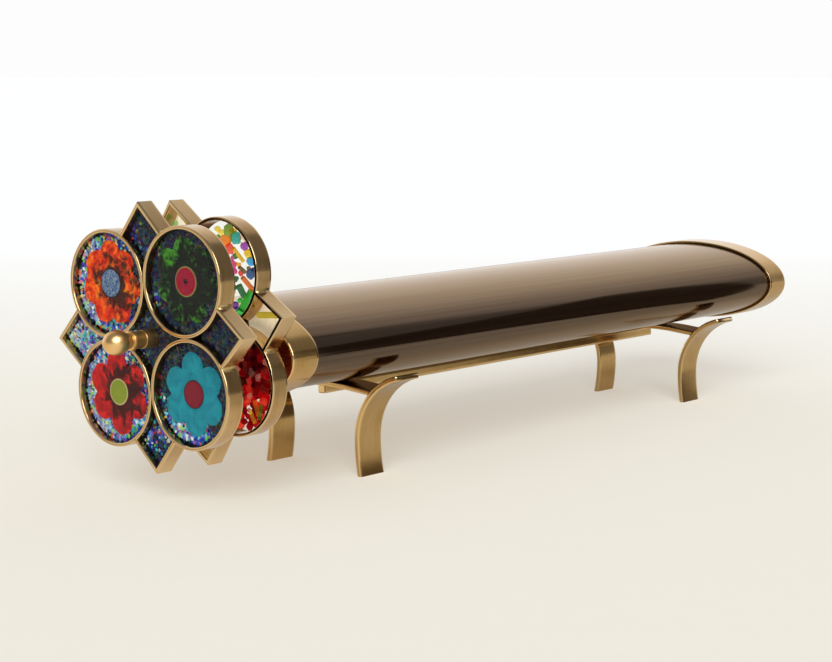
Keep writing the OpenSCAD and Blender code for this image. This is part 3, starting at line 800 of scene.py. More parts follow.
def slabs(name, plates):
    """Flat plates, each from an outline, a hole or None, and its front and back depth in mm."""
    shape = bmesh.new()
    for outline, hole, front, back in plates:
        sides = [flat_face(shape, outline, hole, depth) for depth in (front, back)]
        for first, second in zip(*sides):
            bridge(shape, first, second)
    bmesh.ops.recalc_face_normals(shape, faces=shape.faces)
    return set_out(name, keep(name, shape))


def ring_plates(front, back):
    """A plate for every ring."""
    return [(round_outline(middle, cell_radius), None, front, back) for middle in cell_middles.values()]


def point_plates(front, back):
    """A plate for every point."""
    return [(point_outline(turn), None, front, back) for turn in range(4)]


def whole_plates(front, back):
    """A plate for every ring and point, and one for the middle."""
    return ring_plates(front, back) + point_plates(front, back) + [(*middle_outlines(), front, back)]


# Navy frit glass: nearly black blue glass with crushed grains of other blues, greens and violets cast
# in it, seen at its polished back. The grains are 0.3 to 1 mm, and are drawn 0.8 mm across.
grain_size = 0.8
navy_frit, tree = material("navy_glass_cast_with_frit")
place = add(tree, "ShaderNodeTexCoord")
grains = add(tree, "ShaderNodeTexVoronoi", {
    "Vector": place.outputs["Object"], "Scale": 1 / (grain_size * mm)})
pick = add(tree, "ShaderNodeSeparateColor", {"Color": grains.outputs["Color"]})
crushed = add(tree, "ShaderNodeValToRGB", {"Fac": pick.outputs[0]}, steps="CONSTANT",
              stops=[(0.0, "#070a18"), (0.46, "#0c1230"), (0.62, "#142c66"), (0.72, "#0c2a30"),
                     (0.8, "#241a48"), (0.88, "#183e2a"), (0.94, "#401a38"), (0.98, "#2f6398")])
ground_skin = add(tree, "ShaderNodeBsdfPrincipled", {
    "Base Color": crushed.outputs["Color"], "Roughness": 0.2, "IOR": 1.5, "Specular IOR Level": 0.1})
add(tree, "ShaderNodeOutputMaterial", {"Surface": ground_skin.outputs[0]})

ground = slabs("front_glass_ground", whole_plates(ground_depth, glass_back))
mount(ground, "front", navy_frit, "frit_glass", *[f"front_cell_{colour}" for colour in cell_middles],
      "front_point_glass", "front_centre_glass")

# Frit of the front wheel: crushed coloured glass strewn on the dark ground round the flowers, in the
# points and in the middle. It is painted lighter towards one side of the wheel and at the foot of one
# ring, where light falls, and painted in shade round the middle.

# Strews grains over flat ground, in heaps of like colour, each with a painted light level: they lie in
# painted lit and shaded patches, with more lit ones towards the painted light side and about the painted
# bright spot, and few round the middle, which is painted in shade. A painted shade below zero darkens all
# of them.
patch_size, heap_size = 3.4, 1.9
middle_dark, middle_edge = 6.0, 12.0
spot_bright, spot_edge = 3.0, 12.0
densest = 9.0e6
any_turn = (6.28, 6.28, 6.28)
strew_tree, given = start_tree("strew_frit", {
    "Ground": "NodeSocketGeometry", "Spacing": "NodeSocketFloat", "Smallest": "NodeSocketFloat",
    "Largest": "NodeSocketFloat", "Painted light side": "NodeSocketVector", "Painted bright spot": "NodeSocketVector",
    "Painted shade": "NodeSocketFloat", "Seed": "NodeSocketInt", "Finish": "NodeSocketMaterial"})
strewn = add(strew_tree, "GeometryNodeDistributePointsOnFaces", {
    "Mesh": given.outputs["Ground"], "Distance Min": given.outputs["Spacing"], "Density Max": densest,
    "Seed": given.outputs["Seed"]}, distribute_method="POISSON")
where = add(strew_tree, "GeometryNodeInputPosition")
sideways = add(strew_tree, "ShaderNodeVectorMath", {
    0: where.outputs[0], 1: given.outputs["Painted light side"]}, operation="DOT_PRODUCT")
patches = add(strew_tree, "ShaderNodeTexNoise", {
    "Vector": where.outputs[0], "Scale": 1 / (patch_size * mm), "Detail": 2.0})
off_axle = add(strew_tree, "ShaderNodeVectorMath", {0: where.outputs[0]}, operation="LENGTH")
dim_middle = add(strew_tree, "ShaderNodeMapRange", {
    "Value": off_axle.outputs["Value"], "From Min": middle_dark * mm, "From Max": middle_edge * mm,
    "To Min": -0.3, "To Max": given.outputs["Painted shade"]})
beyond = add(strew_tree, "ShaderNodeMath", {0: sideways.outputs["Value"], 1: dim_middle.outputs[0]})
to_spot = add(strew_tree, "ShaderNodeVectorMath", {
    0: where.outputs[0], 1: given.outputs["Painted bright spot"]}, operation="DISTANCE")
at_spot = add(strew_tree, "ShaderNodeMapRange", {
    "Value": to_spot.outputs["Value"], "From Min": spot_bright * mm, "From Max": spot_edge * mm,
    "To Min": 0.56, "To Max": 0.0})
brightened = add(strew_tree, "ShaderNodeMath", {0: beyond.outputs[0], 1: at_spot.outputs[0]})
odds = add(strew_tree, "ShaderNodeMath", {0: brightened.outputs[0], 1: patches.outputs["Fac"]})
throw = add(strew_tree, "FunctionNodeRandomValue", {2: -0.16, 3: 0.16, "Seed": 11}, data_type="FLOAT")
lucky = add(strew_tree, "ShaderNodeMath", {0: odds.outputs[0], 1: throw.outputs[1]})
# Painted light: how lit each grain is painted, from its side, its patch, the bright spot and the middle.
glow = add(strew_tree, "ShaderNodeMapRange", {
    "Value": lucky.outputs[0], "From Min": 0.4, "From Max": 0.64}, clamp=False)
heaps = add(strew_tree, "ShaderNodeTexNoise", {
    "Vector": where.outputs[0], "Scale": 1 / (heap_size * mm), "Detail": 0.0})
stray = add(strew_tree, "FunctionNodeRandomValue", {2: 0.0, 3: 0.42, "Seed": 23}, data_type="FLOAT")
heaped = add(strew_tree, "ShaderNodeMath", {0: heaps.outputs["Fac"], 1: 3.0, 2: stray.outputs[1]},
             operation="MULTIPLY_ADD")
colour_pick = add(strew_tree, "ShaderNodeMath", {0: heaped.outputs[0]}, operation="FRACT")
lit = add(strew_tree, "GeometryNodeStoreNamedAttribute", {
    "Geometry": strewn.outputs["Points"], "Name": "glow", "Value": glow.outputs[0]},
    data_type="FLOAT", domain="POINT")
hued = add(strew_tree, "GeometryNodeStoreNamedAttribute", {
    "Geometry": lit.outputs[0], "Name": "chip", "Value": colour_pick.outputs[0]},
    data_type="FLOAT", domain="POINT")
grain = add(strew_tree, "GeometryNodeMeshIcoSphere", {"Radius": 1.0, "Subdivisions": 1})
spin = add(strew_tree, "FunctionNodeRandomValue", {
    0: (0, 0, 0), 1: any_turn, "Seed": 37}, data_type="FLOAT_VECTOR")
spun = add(strew_tree, "FunctionNodeEulerToRotation", {"Euler": spin.outputs[0]})
small = add(strew_tree, "ShaderNodeCombineXYZ", {k: given.outputs["Smallest"] for k in range(3)})
large = add(strew_tree, "ShaderNodeCombineXYZ", {k: given.outputs["Largest"] for k in range(3)})
sized = add(strew_tree, "FunctionNodeRandomValue", {
    0: small.outputs[0], 1: large.outputs[0], "Seed": 41}, data_type="FLOAT_VECTOR")
laid = add(strew_tree, "GeometryNodeInstanceOnPoints", {
    "Points": hued.outputs[0], "Instance": grain.outputs["Mesh"], "Rotation": spun.outputs[0],
    "Scale": sized.outputs[0]})
whole = add(strew_tree, "GeometryNodeRealizeInstances", {"Geometry": laid.outputs[0]})
finished = add(strew_tree, "GeometryNodeSetMaterial", {
    "Geometry": whole.outputs[0], "Material": given.outputs["Finish"]})
add(strew_tree, "NodeGroupOutput", {"Piece": finished.outputs[0]})


def flat_ground(name, outlines, depth):
    """Flat faces to strew glass on, each from an outline and its hole or None."""
    shape = bmesh.new()
    for outline, hole in outlines:
        flat_face(shape, outline, hole, depth)
    bmesh.ops.triangulate(shape, faces=shape.faces)
    return keep(name, shape)


# Frit: crushed clear-bodied glass in blues, cyan, violet and green, with a little pink, yellow, red and
# white. Each grain is one colour with wet-looking facets. By its painted light level it is painted as a
# lit copy of its colour or a nearly black shaded copy, and the most lit ones get a painted pale highlight.
frit, tree = material("crushed_coloured_glass")
chip = add(tree, "ShaderNodeAttribute", attribute_name="chip")
painted_glow_level = add(tree, "ShaderNodeAttribute", attribute_name="glow")
hue = add(tree, "ShaderNodeValToRGB", {"Fac": chip.outputs["Fac"]}, steps="CONSTANT",
          stops=[(0.0, "#1f4fe0"), (0.16, "#4f9af8"), (0.3, "#2a2cc0"), (0.41, "#79d8fa"),
                 (0.52, "#6a48d8"), (0.6, "#1fb4a4"), (0.67, "#86d458"), (0.74, "#e874b8"),
                 (0.79, "#f2fafc"), (0.87, "#f0e878"), (0.91, "#e8503a"), (0.95, "#34d8d8")])
# Painted shade: a nearly black copy of each grain's colour, for grains painted in the dark.
deep = add(tree, "ShaderNodeMix", {0: 0.93, 6: hue.outputs["Color"], 7: linear("#070a18")},
           data_type="RGBA")
lit_or_shaded_hue = add(tree, "ShaderNodeMix", {0: painted_glow_level.outputs["Fac"], 6: deep.outputs[2], 7: hue.outputs["Color"]},
            data_type="RGBA")
# Painted highlight: the most lit grains are washed towards a pale cream.
painted_highlight_share = add(tree, "ShaderNodeMapRange", {
    "Value": painted_glow_level.outputs["Fac"], "From Min": 1.1, "From Max": 2.4, "To Min": 0.0, "To Max": 0.35})
painted_highlight = add(tree, "ShaderNodeMix", {0: painted_highlight_share.outputs[0], 6: lit_or_shaded_hue.outputs[2], 7: linear("#f4eed2")},
               data_type="RGBA")
frit_skin = add(tree, "ShaderNodeBsdfPrincipled", {
    "Base Color": painted_highlight.outputs[2], "Roughness": 0.25, "IOR": 1.5, "Specular IOR Level": 0.1})
add(tree, "ShaderNodeOutputMaterial", {"Surface": frit_skin.outputs[0]})

frit_gap, frit_hole, frit_lift, frit_flat = 0.5, 8.2, 0.08, 0.27
frit_grounds = [(round_outline(middle, cell_radius - frit_gap), round_outline(middle, frit_hole))
                for middle in cell_middles.values()]
frit_grounds += [(point_outline(turn, frit_gap), None) for turn in range(4)]
frit_grounds.append(middle_outlines(frit_gap))
frit_depth = ground_depth - frit_lift
strewn_frit = grow("front_glass_frit", strew_tree, flat_ground("frit", frit_grounds, frit_depth), {
    "Spacing": 0.52 * mm, "Smallest": 0.26 * mm, "Largest": 0.78 * mm, "Painted light side": (22.0, -3.0, 0.0),
    "Painted bright spot": (-11.5 * mm, -23.5 * mm, frit_depth * mm), "Painted shade": -0.13, "Seed": 3, "Finish": frit})


def press_flat(piece, depth, share):
    """Presses strewn glass to a share of its height, towards the depth that it lies at."""
    lie = Matrix.Translation((0, 0, depth * mm))
    piece.data.transform(lie @ Matrix.Diagonal((1, 1, share, 1)) @ lie.inverted())


press_flat(strewn_frit, frit_depth, frit_flat)
mount(strewn_frit, "front", frit, "frit_glass")

# Flowers of the front wheel: plain round-petalled rosettes of pressed glass, one to a ring, each with a
# round slice of cane for its eye. They are fused down on the dark ground.

flower_eyes = {"green": 3.8, "turquoise": 3.6, "red": 3.4, "orange": 3.8}
petal_counts = {"green": 7, "turquoise": 6, "red": 6, "orange": 7}
petal_seeds = {"green": 5, "turquoise": 9, "red": 3, "orange": 6}
petal_reach, petal_radius, petal_crest = 6.7, 3.9, 0.34
fold_share = 0.9
petal_points = 144
# How far out each row of a rosette lies, as a share of its edge, and how high, as a share of its crest.
petal_rows = ((1.0, 0.0), (1.0, 0.55), (0.985, 0.8), (0.95, 0.94), (0.88, 1.0), (0.78, 1.0), (0.68, 0.96),
              (0.58, 0.92), (0.46, 0.9), (0.3, 0.9), (0.12, 0.9), (0.01, 0.9))


def rosette(name, colour):
    """A low pad in the shape of a rosette, with round petals that each differ a little from the next."""
    chance, count = random.Random(petal_seeds[colour]), petal_counts[colour]
    petals = []
    for k in range(count):
        angle = 2 * math.pi * (k + chance.uniform(-0.06, 0.06)) / count + math.pi / 2
        reach = petal_reach * chance.uniform(0.96, 1.04)
        petals.append((angle, reach, petal_radius * chance.uniform(0.9, 1.04)))
    ripples = [(chance.uniform(0.02, 0.07), chance.randint(9, 23), chance.uniform(0, 6)) for _ in range(4)]
    outline = []
    for k in range(petal_points):
        angle = 2 * math.pi * k / petal_points
        edge = petal_reach * fold_share
        for middle, reach, radius in petals:
            off = reach * math.sin(angle - middle)
            if abs(off) < radius and math.cos(angle - middle) > 0:
                edge = max(edge, reach * math.cos(angle - middle) + math.sqrt(radius ** 2 - off ** 2))
        outline.append(edge + sum(high * math.sin(times * angle + shift) for high, times, shift in ripples))
    rows = []
    for share, rise in petal_rows:
        rows.append([(edge * share * cos, edge * share * sin, ground_depth - petal_crest * rise)
                     for edge, (cos, sin) in zip(outline, full_turn(petal_points))])
    return skin(name, rows)


def from_middle(tree, colour):
    """A flower's own coordinates, the place across it and the distance from its middle, these in mm."""
    x, y = cell_middles[colour]
    spot = on_wheel("front") @ Vector((x * mm, y * mm, glass_front * mm))
    place = add(tree, "ShaderNodeTexCoord")
    moved = add(tree, "ShaderNodeMapping", {
        "Vector": place.outputs["Object"], "Location": (0, -spot.y / mm, -spot.z / mm),
        "Scale": (0, 1 / mm, 1 / mm)})
    across = add(tree, "ShaderNodeSeparateXYZ", {0: moved.outputs[0]})
    return place, across, add(tree, "ShaderNodeVectorMath", {0: moved.outputs[0]}, operation="LENGTH")


def set_in_ring(piece, colour, finish, slot, node):
    """Moves a piece that was drawn round the axle to its ring of the front wheel, and mounts it there."""
    x, y = cell_middles[colour]
    piece.data.transform(Matrix.Translation((x * mm, y * mm, 0)))
    mount(piece, "front", finish, slot, node)


# Pressed flower glass: streaky luminous colour, three tones swirled together, with dark smoke drawn out
# from the eye, and a painted shade that leans the darkness towards one side of each flower. The swirls
# and the smoke are a few mm across, and the fine mottle half a mm.
swirl_size, mottle_size, smoke_size = 3.4, 0.6, 2.4
smoke_start, smoke_stop, painted_shade_lean = 3.4, 10.5, -0.012
flower_tones = {
    "orange": ("#c81404", "#fa4404", "#ff8a10", "#1c0504", 0.95, 0.66),
    "green": ("#060b0c", "#0a2a12", "#469a26", "#06080e", 0.95, 0.74),
    "turquoise": ("#0a8099", "#0f8fa8", "#159cb2", "#0a7a94", 0.25, 0.3),
    "red": ("#a00a16", "#d0141c", "#ee2622", "#24040a", 0.94, 0.66)}
for colour, (low, mid, high, dark, darkness, spread) in flower_tones.items():
    petal_glass, tree = material(f"pressed_glass_{colour}")
    place, across, away = from_middle(tree, colour)
    swirl = add(tree, "ShaderNodeTexNoise", {
        "Vector": place.outputs["Object"], "Scale": 1 / (swirl_size * mm), "Detail": 3.0,
        "Distortion": 1.2})
    mottle = add(tree, "ShaderNodeTexNoise", {
        "Vector": place.outputs["Object"], "Scale": 1 / (mottle_size * mm), "Detail": 2.0})
    mixed = add(tree, "ShaderNodeMix", {0: 0.3, 2: swirl.outputs["Fac"], 3: mottle.outputs["Fac"]})
    colours = add(tree, "ShaderNodeValToRGB", {"Fac": mixed.outputs[0]},
                  stops=[(0.4, low), (0.5, mid), (0.62, high)])
    smoke = add(tree, "ShaderNodeTexNoise", {
        "Vector": place.outputs["Object"], "Scale": 1 / (smoke_size * mm), "Detail": 4.0,
        "Distortion": 0.8})
    near_eye = add(tree, "ShaderNodeMapRange", {
        "Value": away.outputs["Value"], "From Min": smoke_start, "From Max": smoke_stop, "To Min": spread,
        "To Max": spread - 0.36}, clamp=False)
    # Painted shade: the smoke is leaned darker towards one side of each flower.
    smoke_and_painted_shade = add(tree, "ShaderNodeMath", {0: across.outputs[1], 1: painted_shade_lean, 2: near_eye.outputs[0]},
                operation="MULTIPLY_ADD")
    drawn = add(tree, "ShaderNodeMath", {0: smoke_and_painted_shade.outputs[0], 1: smoke.outputs["Fac"]},
                operation="SUBTRACT")
    shaded = add(tree, "ShaderNodeMapRange", {
        "Value": drawn.outputs[0], "From Min": -0.06, "From Max": 0.1, "To Max": darkness})
    deepened = add(tree, "ShaderNodeMix", {
        0: shaded.outputs[0], 6: colours.outputs["Color"], 7: linear(dark)}, data_type="RGBA")
    dimpled = add(tree, "ShaderNodeBump", {
        "Height": swirl.outputs["Fac"], "Strength": 0.1, "Distance": 0.2 * mm})
    petal_skin = add(tree, "ShaderNodeBsdfPrincipled", {
        "Base Color": deepened.outputs[2], "Roughness": 0.3, "IOR": 1.5, "Specular IOR Level": 0.1,
        "Normal": dimpled.outputs[0]})
    add(tree, "ShaderNodeOutputMaterial", {"Surface": petal_skin.outputs[0]})
    flower = rosette(f"flower_{colour}_rosette", colour)
    set_in_ring(flower, colour, petal_glass, f"glass_{colour}", f"flower_{colour}")

# Eyes of the flowers: round slices of glass cane with a thin casing of another colour round them, fused
# on the middle of each rosette.

eye_lift, eye_rise = 0.28, 0.16
edge_power, crown_power, eye_top = 0.8, 1.2, 0.02


def dome(name, radius, deep, high, points=40, steps=10):
    """A low round pad on the depth deep, a little fuller at its edge than a slice of a ball."""
    rows = []
    for step in range(steps + 1):
        angle = math.pi / 2 * step / steps
        size = radius * (math.cos(angle) ** edge_power if step < steps else eye_top)
        rise = high * math.sin(angle) ** crown_power
        rows.append([(size * cos, size * sin, deep - rise) for cos, sin in full_turn(points)])
    return skin(name, rows)


# Cane glass: an even, slightly speckled core, a thin casing line at its edge and a dot in the middle, dark
# on one and hardly seen on the others. Specks are about 0.45 mm, and the casing 0.4 mm.
fleck_size, dot_radius, dot_edge = 0.45, 0.5, 0.9
casing_start, casing_full = 0.5, 0.3
eye_tones = {
    "orange": ("#1f4a8c", "#93a8b8", "#140a0c", "#5f7a98", 0.9),
    "green": ("#980f30", "#b4183c", "#8a8348", "#1c061c", 0.35),
    "turquoise": ("#7e1028", "#981a34", "#240a14", "#861430", 0.3),
    "red": ("#8a9c30", "#a6b044", "#cdbf86", "#98a43a", 0.35)}
for colour, (core, fleck, casing, dot, flecks) in eye_tones.items():
    eye_glass, tree = material(f"cane_glass_{colour}_eye")
    place, _, away = from_middle(tree, colour)
    specks = add(tree, "ShaderNodeTexNoise", {
        "Vector": place.outputs["Object"], "Scale": 1 / (fleck_size * mm), "Detail": 2.0})
    speckled = add(tree, "ShaderNodeMapRange", {
        "Value": specks.outputs["Fac"], "From Min": 0.4, "From Max": 0.62, "To Max": flecks})
    cored = add(tree, "ShaderNodeMix", {0: speckled.outputs[0], 6: linear(core), 7: linear(fleck)},
                data_type="RGBA")
    dotted = add(tree, "ShaderNodeMapRange", {
        "Value": away.outputs["Value"], "From Min": dot_radius, "From Max": dot_edge, "To Min": 1.0,
        "To Max": 0.0})
    with_dot = add(tree, "ShaderNodeMix", {0: dotted.outputs[0], 6: cored.outputs[2], 7: linear(dot)},
                   data_type="RGBA")
    size = flower_eyes[colour]
    cased = add(tree, "ShaderNodeMapRange", {
        "Value": away.outputs["Value"], "From Min": size - casing_start, "From Max": size - casing_full})
    whole_eye = add(tree, "ShaderNodeMix", {0: cased.outputs[0], 6: with_dot.outputs[2], 7: linear(casing)},
                    data_type="RGBA")
    eye_skin = add(tree, "ShaderNodeBsdfPrincipled", {
        "Base Color": whole_eye.outputs[2], "Roughness": 0.25, "IOR": 1.5, "Specular IOR Level": 0.1})
    add(tree, "ShaderNodeOutputMaterial", {"Surface": eye_skin.outputs[0]})
    eye = dome(f"flower_{colour}_cane_eye", size, ground_depth - eye_lift, eye_rise)
    set_in_ring(eye, colour, eye_glass, f"glass_eye_{colour}", f"flower_eye_{colour}")

# Cover glass of the front wheel: thin clear sheets lie over the flowers and the frit in every ring and
# point and in the middle, a little below the rims, and are cemented round their edges.

cover_back = 1.5
cover = slabs("front_glass_cover", whole_plates(glass_front, cover_back))
mount(cover, "front", clear_glass, "clear_glass")

# Panes of the rear wheel: each ring and point holds two thin panes with a space between them. They are
# clear, but the back ones of the points are frosted. The middle has the front wheel's dark glass.

# Frosted glass: ground on one side, so that it scatters the light that comes through to an even white,
# with cloudy patches of about 2 mm where it was ground less, and a faint warm painted glow for the light
# of the bright room behind it.
grind_size = 2.0
frosted_glass, tree = material("ground_frosted_glass")
place = add(tree, "ShaderNodeTexCoord")
grinding = add(tree, "ShaderNodeTexNoise", {
    "Vector": place.outputs["Object"], "Scale": 1 / (grind_size * mm), "Detail": 3.0})
cloudy = add(tree, "ShaderNodeMapRange", {
    "Value": grinding.outputs["Fac"], "From Min": 0.3, "From Max": 0.7, "To Min": 0.7, "To Max": 0.85})
through = add(tree, "ShaderNodeBsdfTransparent", {"Color": linear("#fbfaf6")})
# Painted glow: a faint warm emission stands for the light that comes through from behind.
frost = add(tree, "ShaderNodeBsdfPrincipled", {
    "Base Color": linear("#fff8e8"), "Roughness": 1.0, "IOR": 1.45, "Transmission Weight": 0.9,
    "Emission Color": linear("#fff0d0"), "Emission Strength": 0.2})
frosted = add(tree, "ShaderNodeMixShader", {
    0: cloudy.outputs[0], 1: through.outputs[0], 2: frost.outputs[0]})
add(tree, "ShaderNodeOutputMaterial", {"Surface": frosted.outputs[0]})

pane = 0.5
panes = slabs("rear_glass_panes", ring_plates(glass_front, glass_front + pane)
              + ring_plates(glass_back - pane, glass_back) + point_plates(glass_front, glass_front + pane))
mount(panes, "rear", clear_glass, "clear_glass", "rear_cell_upper_right", "rear_cell_lower_right",
      "rear_cell_lower_left", "rear_cell_upper_left", "rear_point_glass")
frosted_panes = slabs("rear_glass_frosted_panes", point_plates(glass_back - pane, glass_back))
mount(frosted_panes, "rear", frosted_glass, "clear_glass")
rear_middle = slabs("rear_glass_middle", [(*middle_outlines(), glass_front, glass_back)])
mount(rear_middle, "rear", navy_frit, "frit_glass", "rear_centre_glass")

# Beads and rods of the rear wheel: loose glass beads and cut lengths of glass rod between the panes.
# The wheel is turned to make them tumble in front of the mirrors.

# Lampworked glass: clear bright colour that light shines through, smooth from the flame, with faint
# streaks along 2 mm where the colour was gathered unevenly, and a faint painted glow in its own colour
# for the light that comes through it.
gather_size = 2.0
bead_glass, tree = material("lampworked_clear_colours")
tint = add(tree, "ShaderNodeAttribute", attribute_name="tint")
place = add(tree, "ShaderNodeTexCoord")
gather = add(tree, "ShaderNodeTexNoise", {
    "Vector": place.outputs["Object"], "Scale": 1 / (gather_size * mm), "Detail": 2.0})
lighter = add(tree, "ShaderNodeMix", {0: 0.12, 6: tint.outputs["Color"], 7: (1, 1, 1, 1)}, data_type="RGBA")
gathered = add(tree, "ShaderNodeMix", {0: gather.outputs["Fac"], 6: tint.outputs["Color"],
               7: lighter.outputs[2]}, data_type="RGBA")
# Painted glow: the bead shines faintly in its own tint, for light that comes through it.
bead_skin = add(tree, "ShaderNodeBsdfPrincipled", {
    "Base Color": gathered.outputs[2], "Roughness": 0.06, "IOR": 1.1, "Transmission Weight": 0.9,
    "Emission Color": tint.outputs["Color"], "Emission Strength": 0.12})
add(tree, "ShaderNodeOutputMaterial", {"Surface": bead_skin.outputs[0]})

# Makes a bead at each loose point and a rod along each edge, each of its own size. A bead is no thicker
# than the space between the panes, and is dented as glass is that sagged while it was soft.
bead_half_depth, dent_depth, lump_size = 1.05, 0.28, 1.1
bead_tree, given = start_tree("beads_and_rods", {
    "Places": "NodeSocketGeometry", "Finish": "NodeSocketMaterial"})
own_size = add(bead_tree, "GeometryNodeInputNamedAttribute", {"Name": "size"}, data_type="FLOAT")
is_rod = add(bead_tree, "GeometryNodeInputNamedAttribute", {"Name": "rod"}, data_type="FLOAT")
loose = add(bead_tree, "FunctionNodeCompare", {0: is_rod.outputs[0], 1: 0.5}, operation="LESS_THAN")
loose_points = add(bead_tree, "GeometryNodeMeshToPoints", {
    "Mesh": given.outputs["Places"], "Selection": loose.outputs[0]})
ball = add(bead_tree, "GeometryNodeMeshUVSphere", {"Segments": 20, "Rings": 12, "Radius": 1.0})
thick = add(bead_tree, "ShaderNodeMath", {0: own_size.outputs[0], 1: bead_half_depth * mm},
            operation="MINIMUM")
flattened = add(bead_tree, "ShaderNodeCombineXYZ", {
    0: own_size.outputs[0], 1: own_size.outputs[0], 2: thick.outputs[0]})
balls = add(bead_tree, "GeometryNodeInstanceOnPoints", {
    "Points": loose_points.outputs[0], "Instance": ball.outputs["Mesh"], "Scale": flattened.outputs[0]})
whole_balls = add(bead_tree, "GeometryNodeRealizeInstances", {"Geometry": balls.outputs[0]})
spot = add(bead_tree, "GeometryNodeInputPosition")
lumps = add(bead_tree, "ShaderNodeTexNoise", {
    "Vector": spot.outputs[0], "Scale": 1 / (lump_size * mm), "Detail": 0.0})
dent = add(bead_tree, "ShaderNodeMapRange", {
    "Value": lumps.outputs["Fac"], "From Min": 0.25, "From Max": 0.6, "To Min": -dent_depth * mm,
    "To Max": 0.0})
outward = add(bead_tree, "GeometryNodeInputNormal")
inward = add(bead_tree, "ShaderNodeVectorMath", {0: outward.outputs[0], "Scale": dent.outputs[0]},
             operation="SCALE")
beads = add(bead_tree, "GeometryNodeSetPosition", {
    "Geometry": whole_balls.outputs[0], "Offset": inward.outputs[0]})
paths = add(bead_tree, "GeometryNodeMeshToCurve", {"Mesh": given.outputs["Places"]})
rod_round = add(bead_tree, "GeometryNodeCurvePrimitiveCircle", {"Resolution": 14, "Radius": 1.0})
rods = add(bead_tree, "GeometryNodeCurveToMesh", {
    "Curve": paths.outputs[0], "Profile Curve": rod_round.outputs["Curve"], "Scale": own_size.outputs[0],
    "Fill Caps": True})
both = add(bead_tree, "GeometryNodeJoinGeometry")
for made in (beads, rods):
    bead_tree.links.new(made.outputs[0], both.inputs[0])
whole = add(bead_tree, "GeometryNodeRealizeInstances", {"Geometry": both.outputs[0]})
finished = add(bead_tree, "GeometryNodeSetMaterial", {
    "Geometry": whole.outputs[0], "Material": given.outputs["Finish"]})
add(bead_tree, "NodeGroupOutput", {"Piece": finished.outputs[0]})

# Each bead is x, y, radius and colour, and each rod x, y, its other end, radius and colour.
bead_list = [
    (-12.6, 24.0, 0.55, "#f0d65a"), (-16.4, 23.2, 1.05, "#7f9a2a"), (-18.5, 21.1, 1.1, "#2fa596"),
    (-14.8, 20.9, 1.05, "#f28a1c"), (-15.8, 18.7, 0.95, "#f05a4a"), (-21.2, 18.7, 0.75, "#a04ab0"),
    (-22.1, 16.7, 0.85, "#f0c628"), (-22.5, 14.8, 0.75, "#3aa6d8"), (-16.1, 14.9, 0.7, "#d63a92"),
    (-21.9, 11.8, 0.9, "#3a5a8c"), (-18.6, 12.4, 0.5, "#e04030"), (-13.2, 17.0, 0.9, "#58b04a"),
    (-10.5, 12.6, 0.8, "#e8a020"), (-12.0, 8.6, 1.0, "#3aa6d8"), (-8.2, 16.2, 0.9, "#c83a5a"),
    (-14.6, 4.9, 0.8, "#7a4ab8"), (-6.4, 11.2, 1.0, "#2fa596"), (2.2, 27.6, 0.55, "#a8d890"),
    (8.4, 20.0, 1.0, "#3a6ad0"), (12.5, 17.2, 1.05, "#35b0c8"), (16.2, 19.6, 0.8, "#e6c040"),
    (18.9, 14.0, 1.0, "#4aa860"), (13.0, 11.0, 0.9, "#8a5ac8"), (8.0, 12.4, 0.75, "#e07ab0"),
    (16.6, 8.0, 1.0, "#2f8ad0"), (11.2, 6.2, 0.9, "#38b0a0"), (20.8, 18.6, 0.7, "#f0a838"),
    (9.2, -9.0, 1.0, "#f0a020"), (14.0, -12.2, 1.05, "#e8742a"), (18.6, -9.6, 0.8, "#f0d048"),
    (11.0, -16.4, 0.95, "#b8a02a"), (16.8, -17.6, 1.0, "#f0b830"), (20.4, -14.4, 0.75, "#d85a2a"),
    (13.4, -21.2, 0.9, "#c8742a"), (8.0, -20.0, 0.8, "#88a83a"), (-12.4, 22.1, 0.5, "#5a9a2a"),
    (-16.7, 21.0, 0.45, "#e8b82a"), (-20.6, 20.9, 0.45, "#f0c8a8"), (-13.2, 18.9, 0.5, "#e84a2a"),
    (-18.2, 14.5, 0.4, "#f0b428")]
rod_list = [
    (-17.7, 18.7, -20.5, 15.1, 0.5, "#e0b41e"), (-17.7, 17.2, -18.2, 16.2, 0.55, "#3f7a30"),
    (-18.8, 13.9, -20.6, 12.4, 0.5, "#7a5a2a"), (-19.3, 11.3, -22.2, 7.9, 0.62, "#d8742a"),
    (-21.4, 7.6, -16.3, 2.9, 1.05, "#22b43c"), (-17.4, 9.6, -18.8, 6.6, 0.8, "#1f6a34"),
    (-22.7, 1.7, -28.8, 1.0, 0.8, "#b8aa1e"), (-0.7, 29.5, -3.4, 26.3, 0.5, "#c8a428"),
    (-17.4, -18.7, -18.0, -22.5, 0.62, "#f08a1e"), (-19.4, -19.8, -18.2, -23.4, 0.5, "#6a9a2a"),
    (-15.4, -21.0, -16.4, -24.2, 0.5, "#f0c02a"), (26.4, -1.2, 21.8, 0.9, 0.7, "#b8aa1e"),
    (1.6, -24.6, -0.8, -28.8, 0.6, "#b8aa1e"), (9.0, 16.8, 13.0, 20.8, 0.6, "#e0b41e"),
    (14.2, 14.2, 19.0, 10.8, 0.65, "#2f9ad0"), (10.6, -12.6, 15.6, -8.2, 0.6, "#d8a82a"),
    (12.4, -18.8, 18.0, -20.6, 0.65, "#c86a1e")]

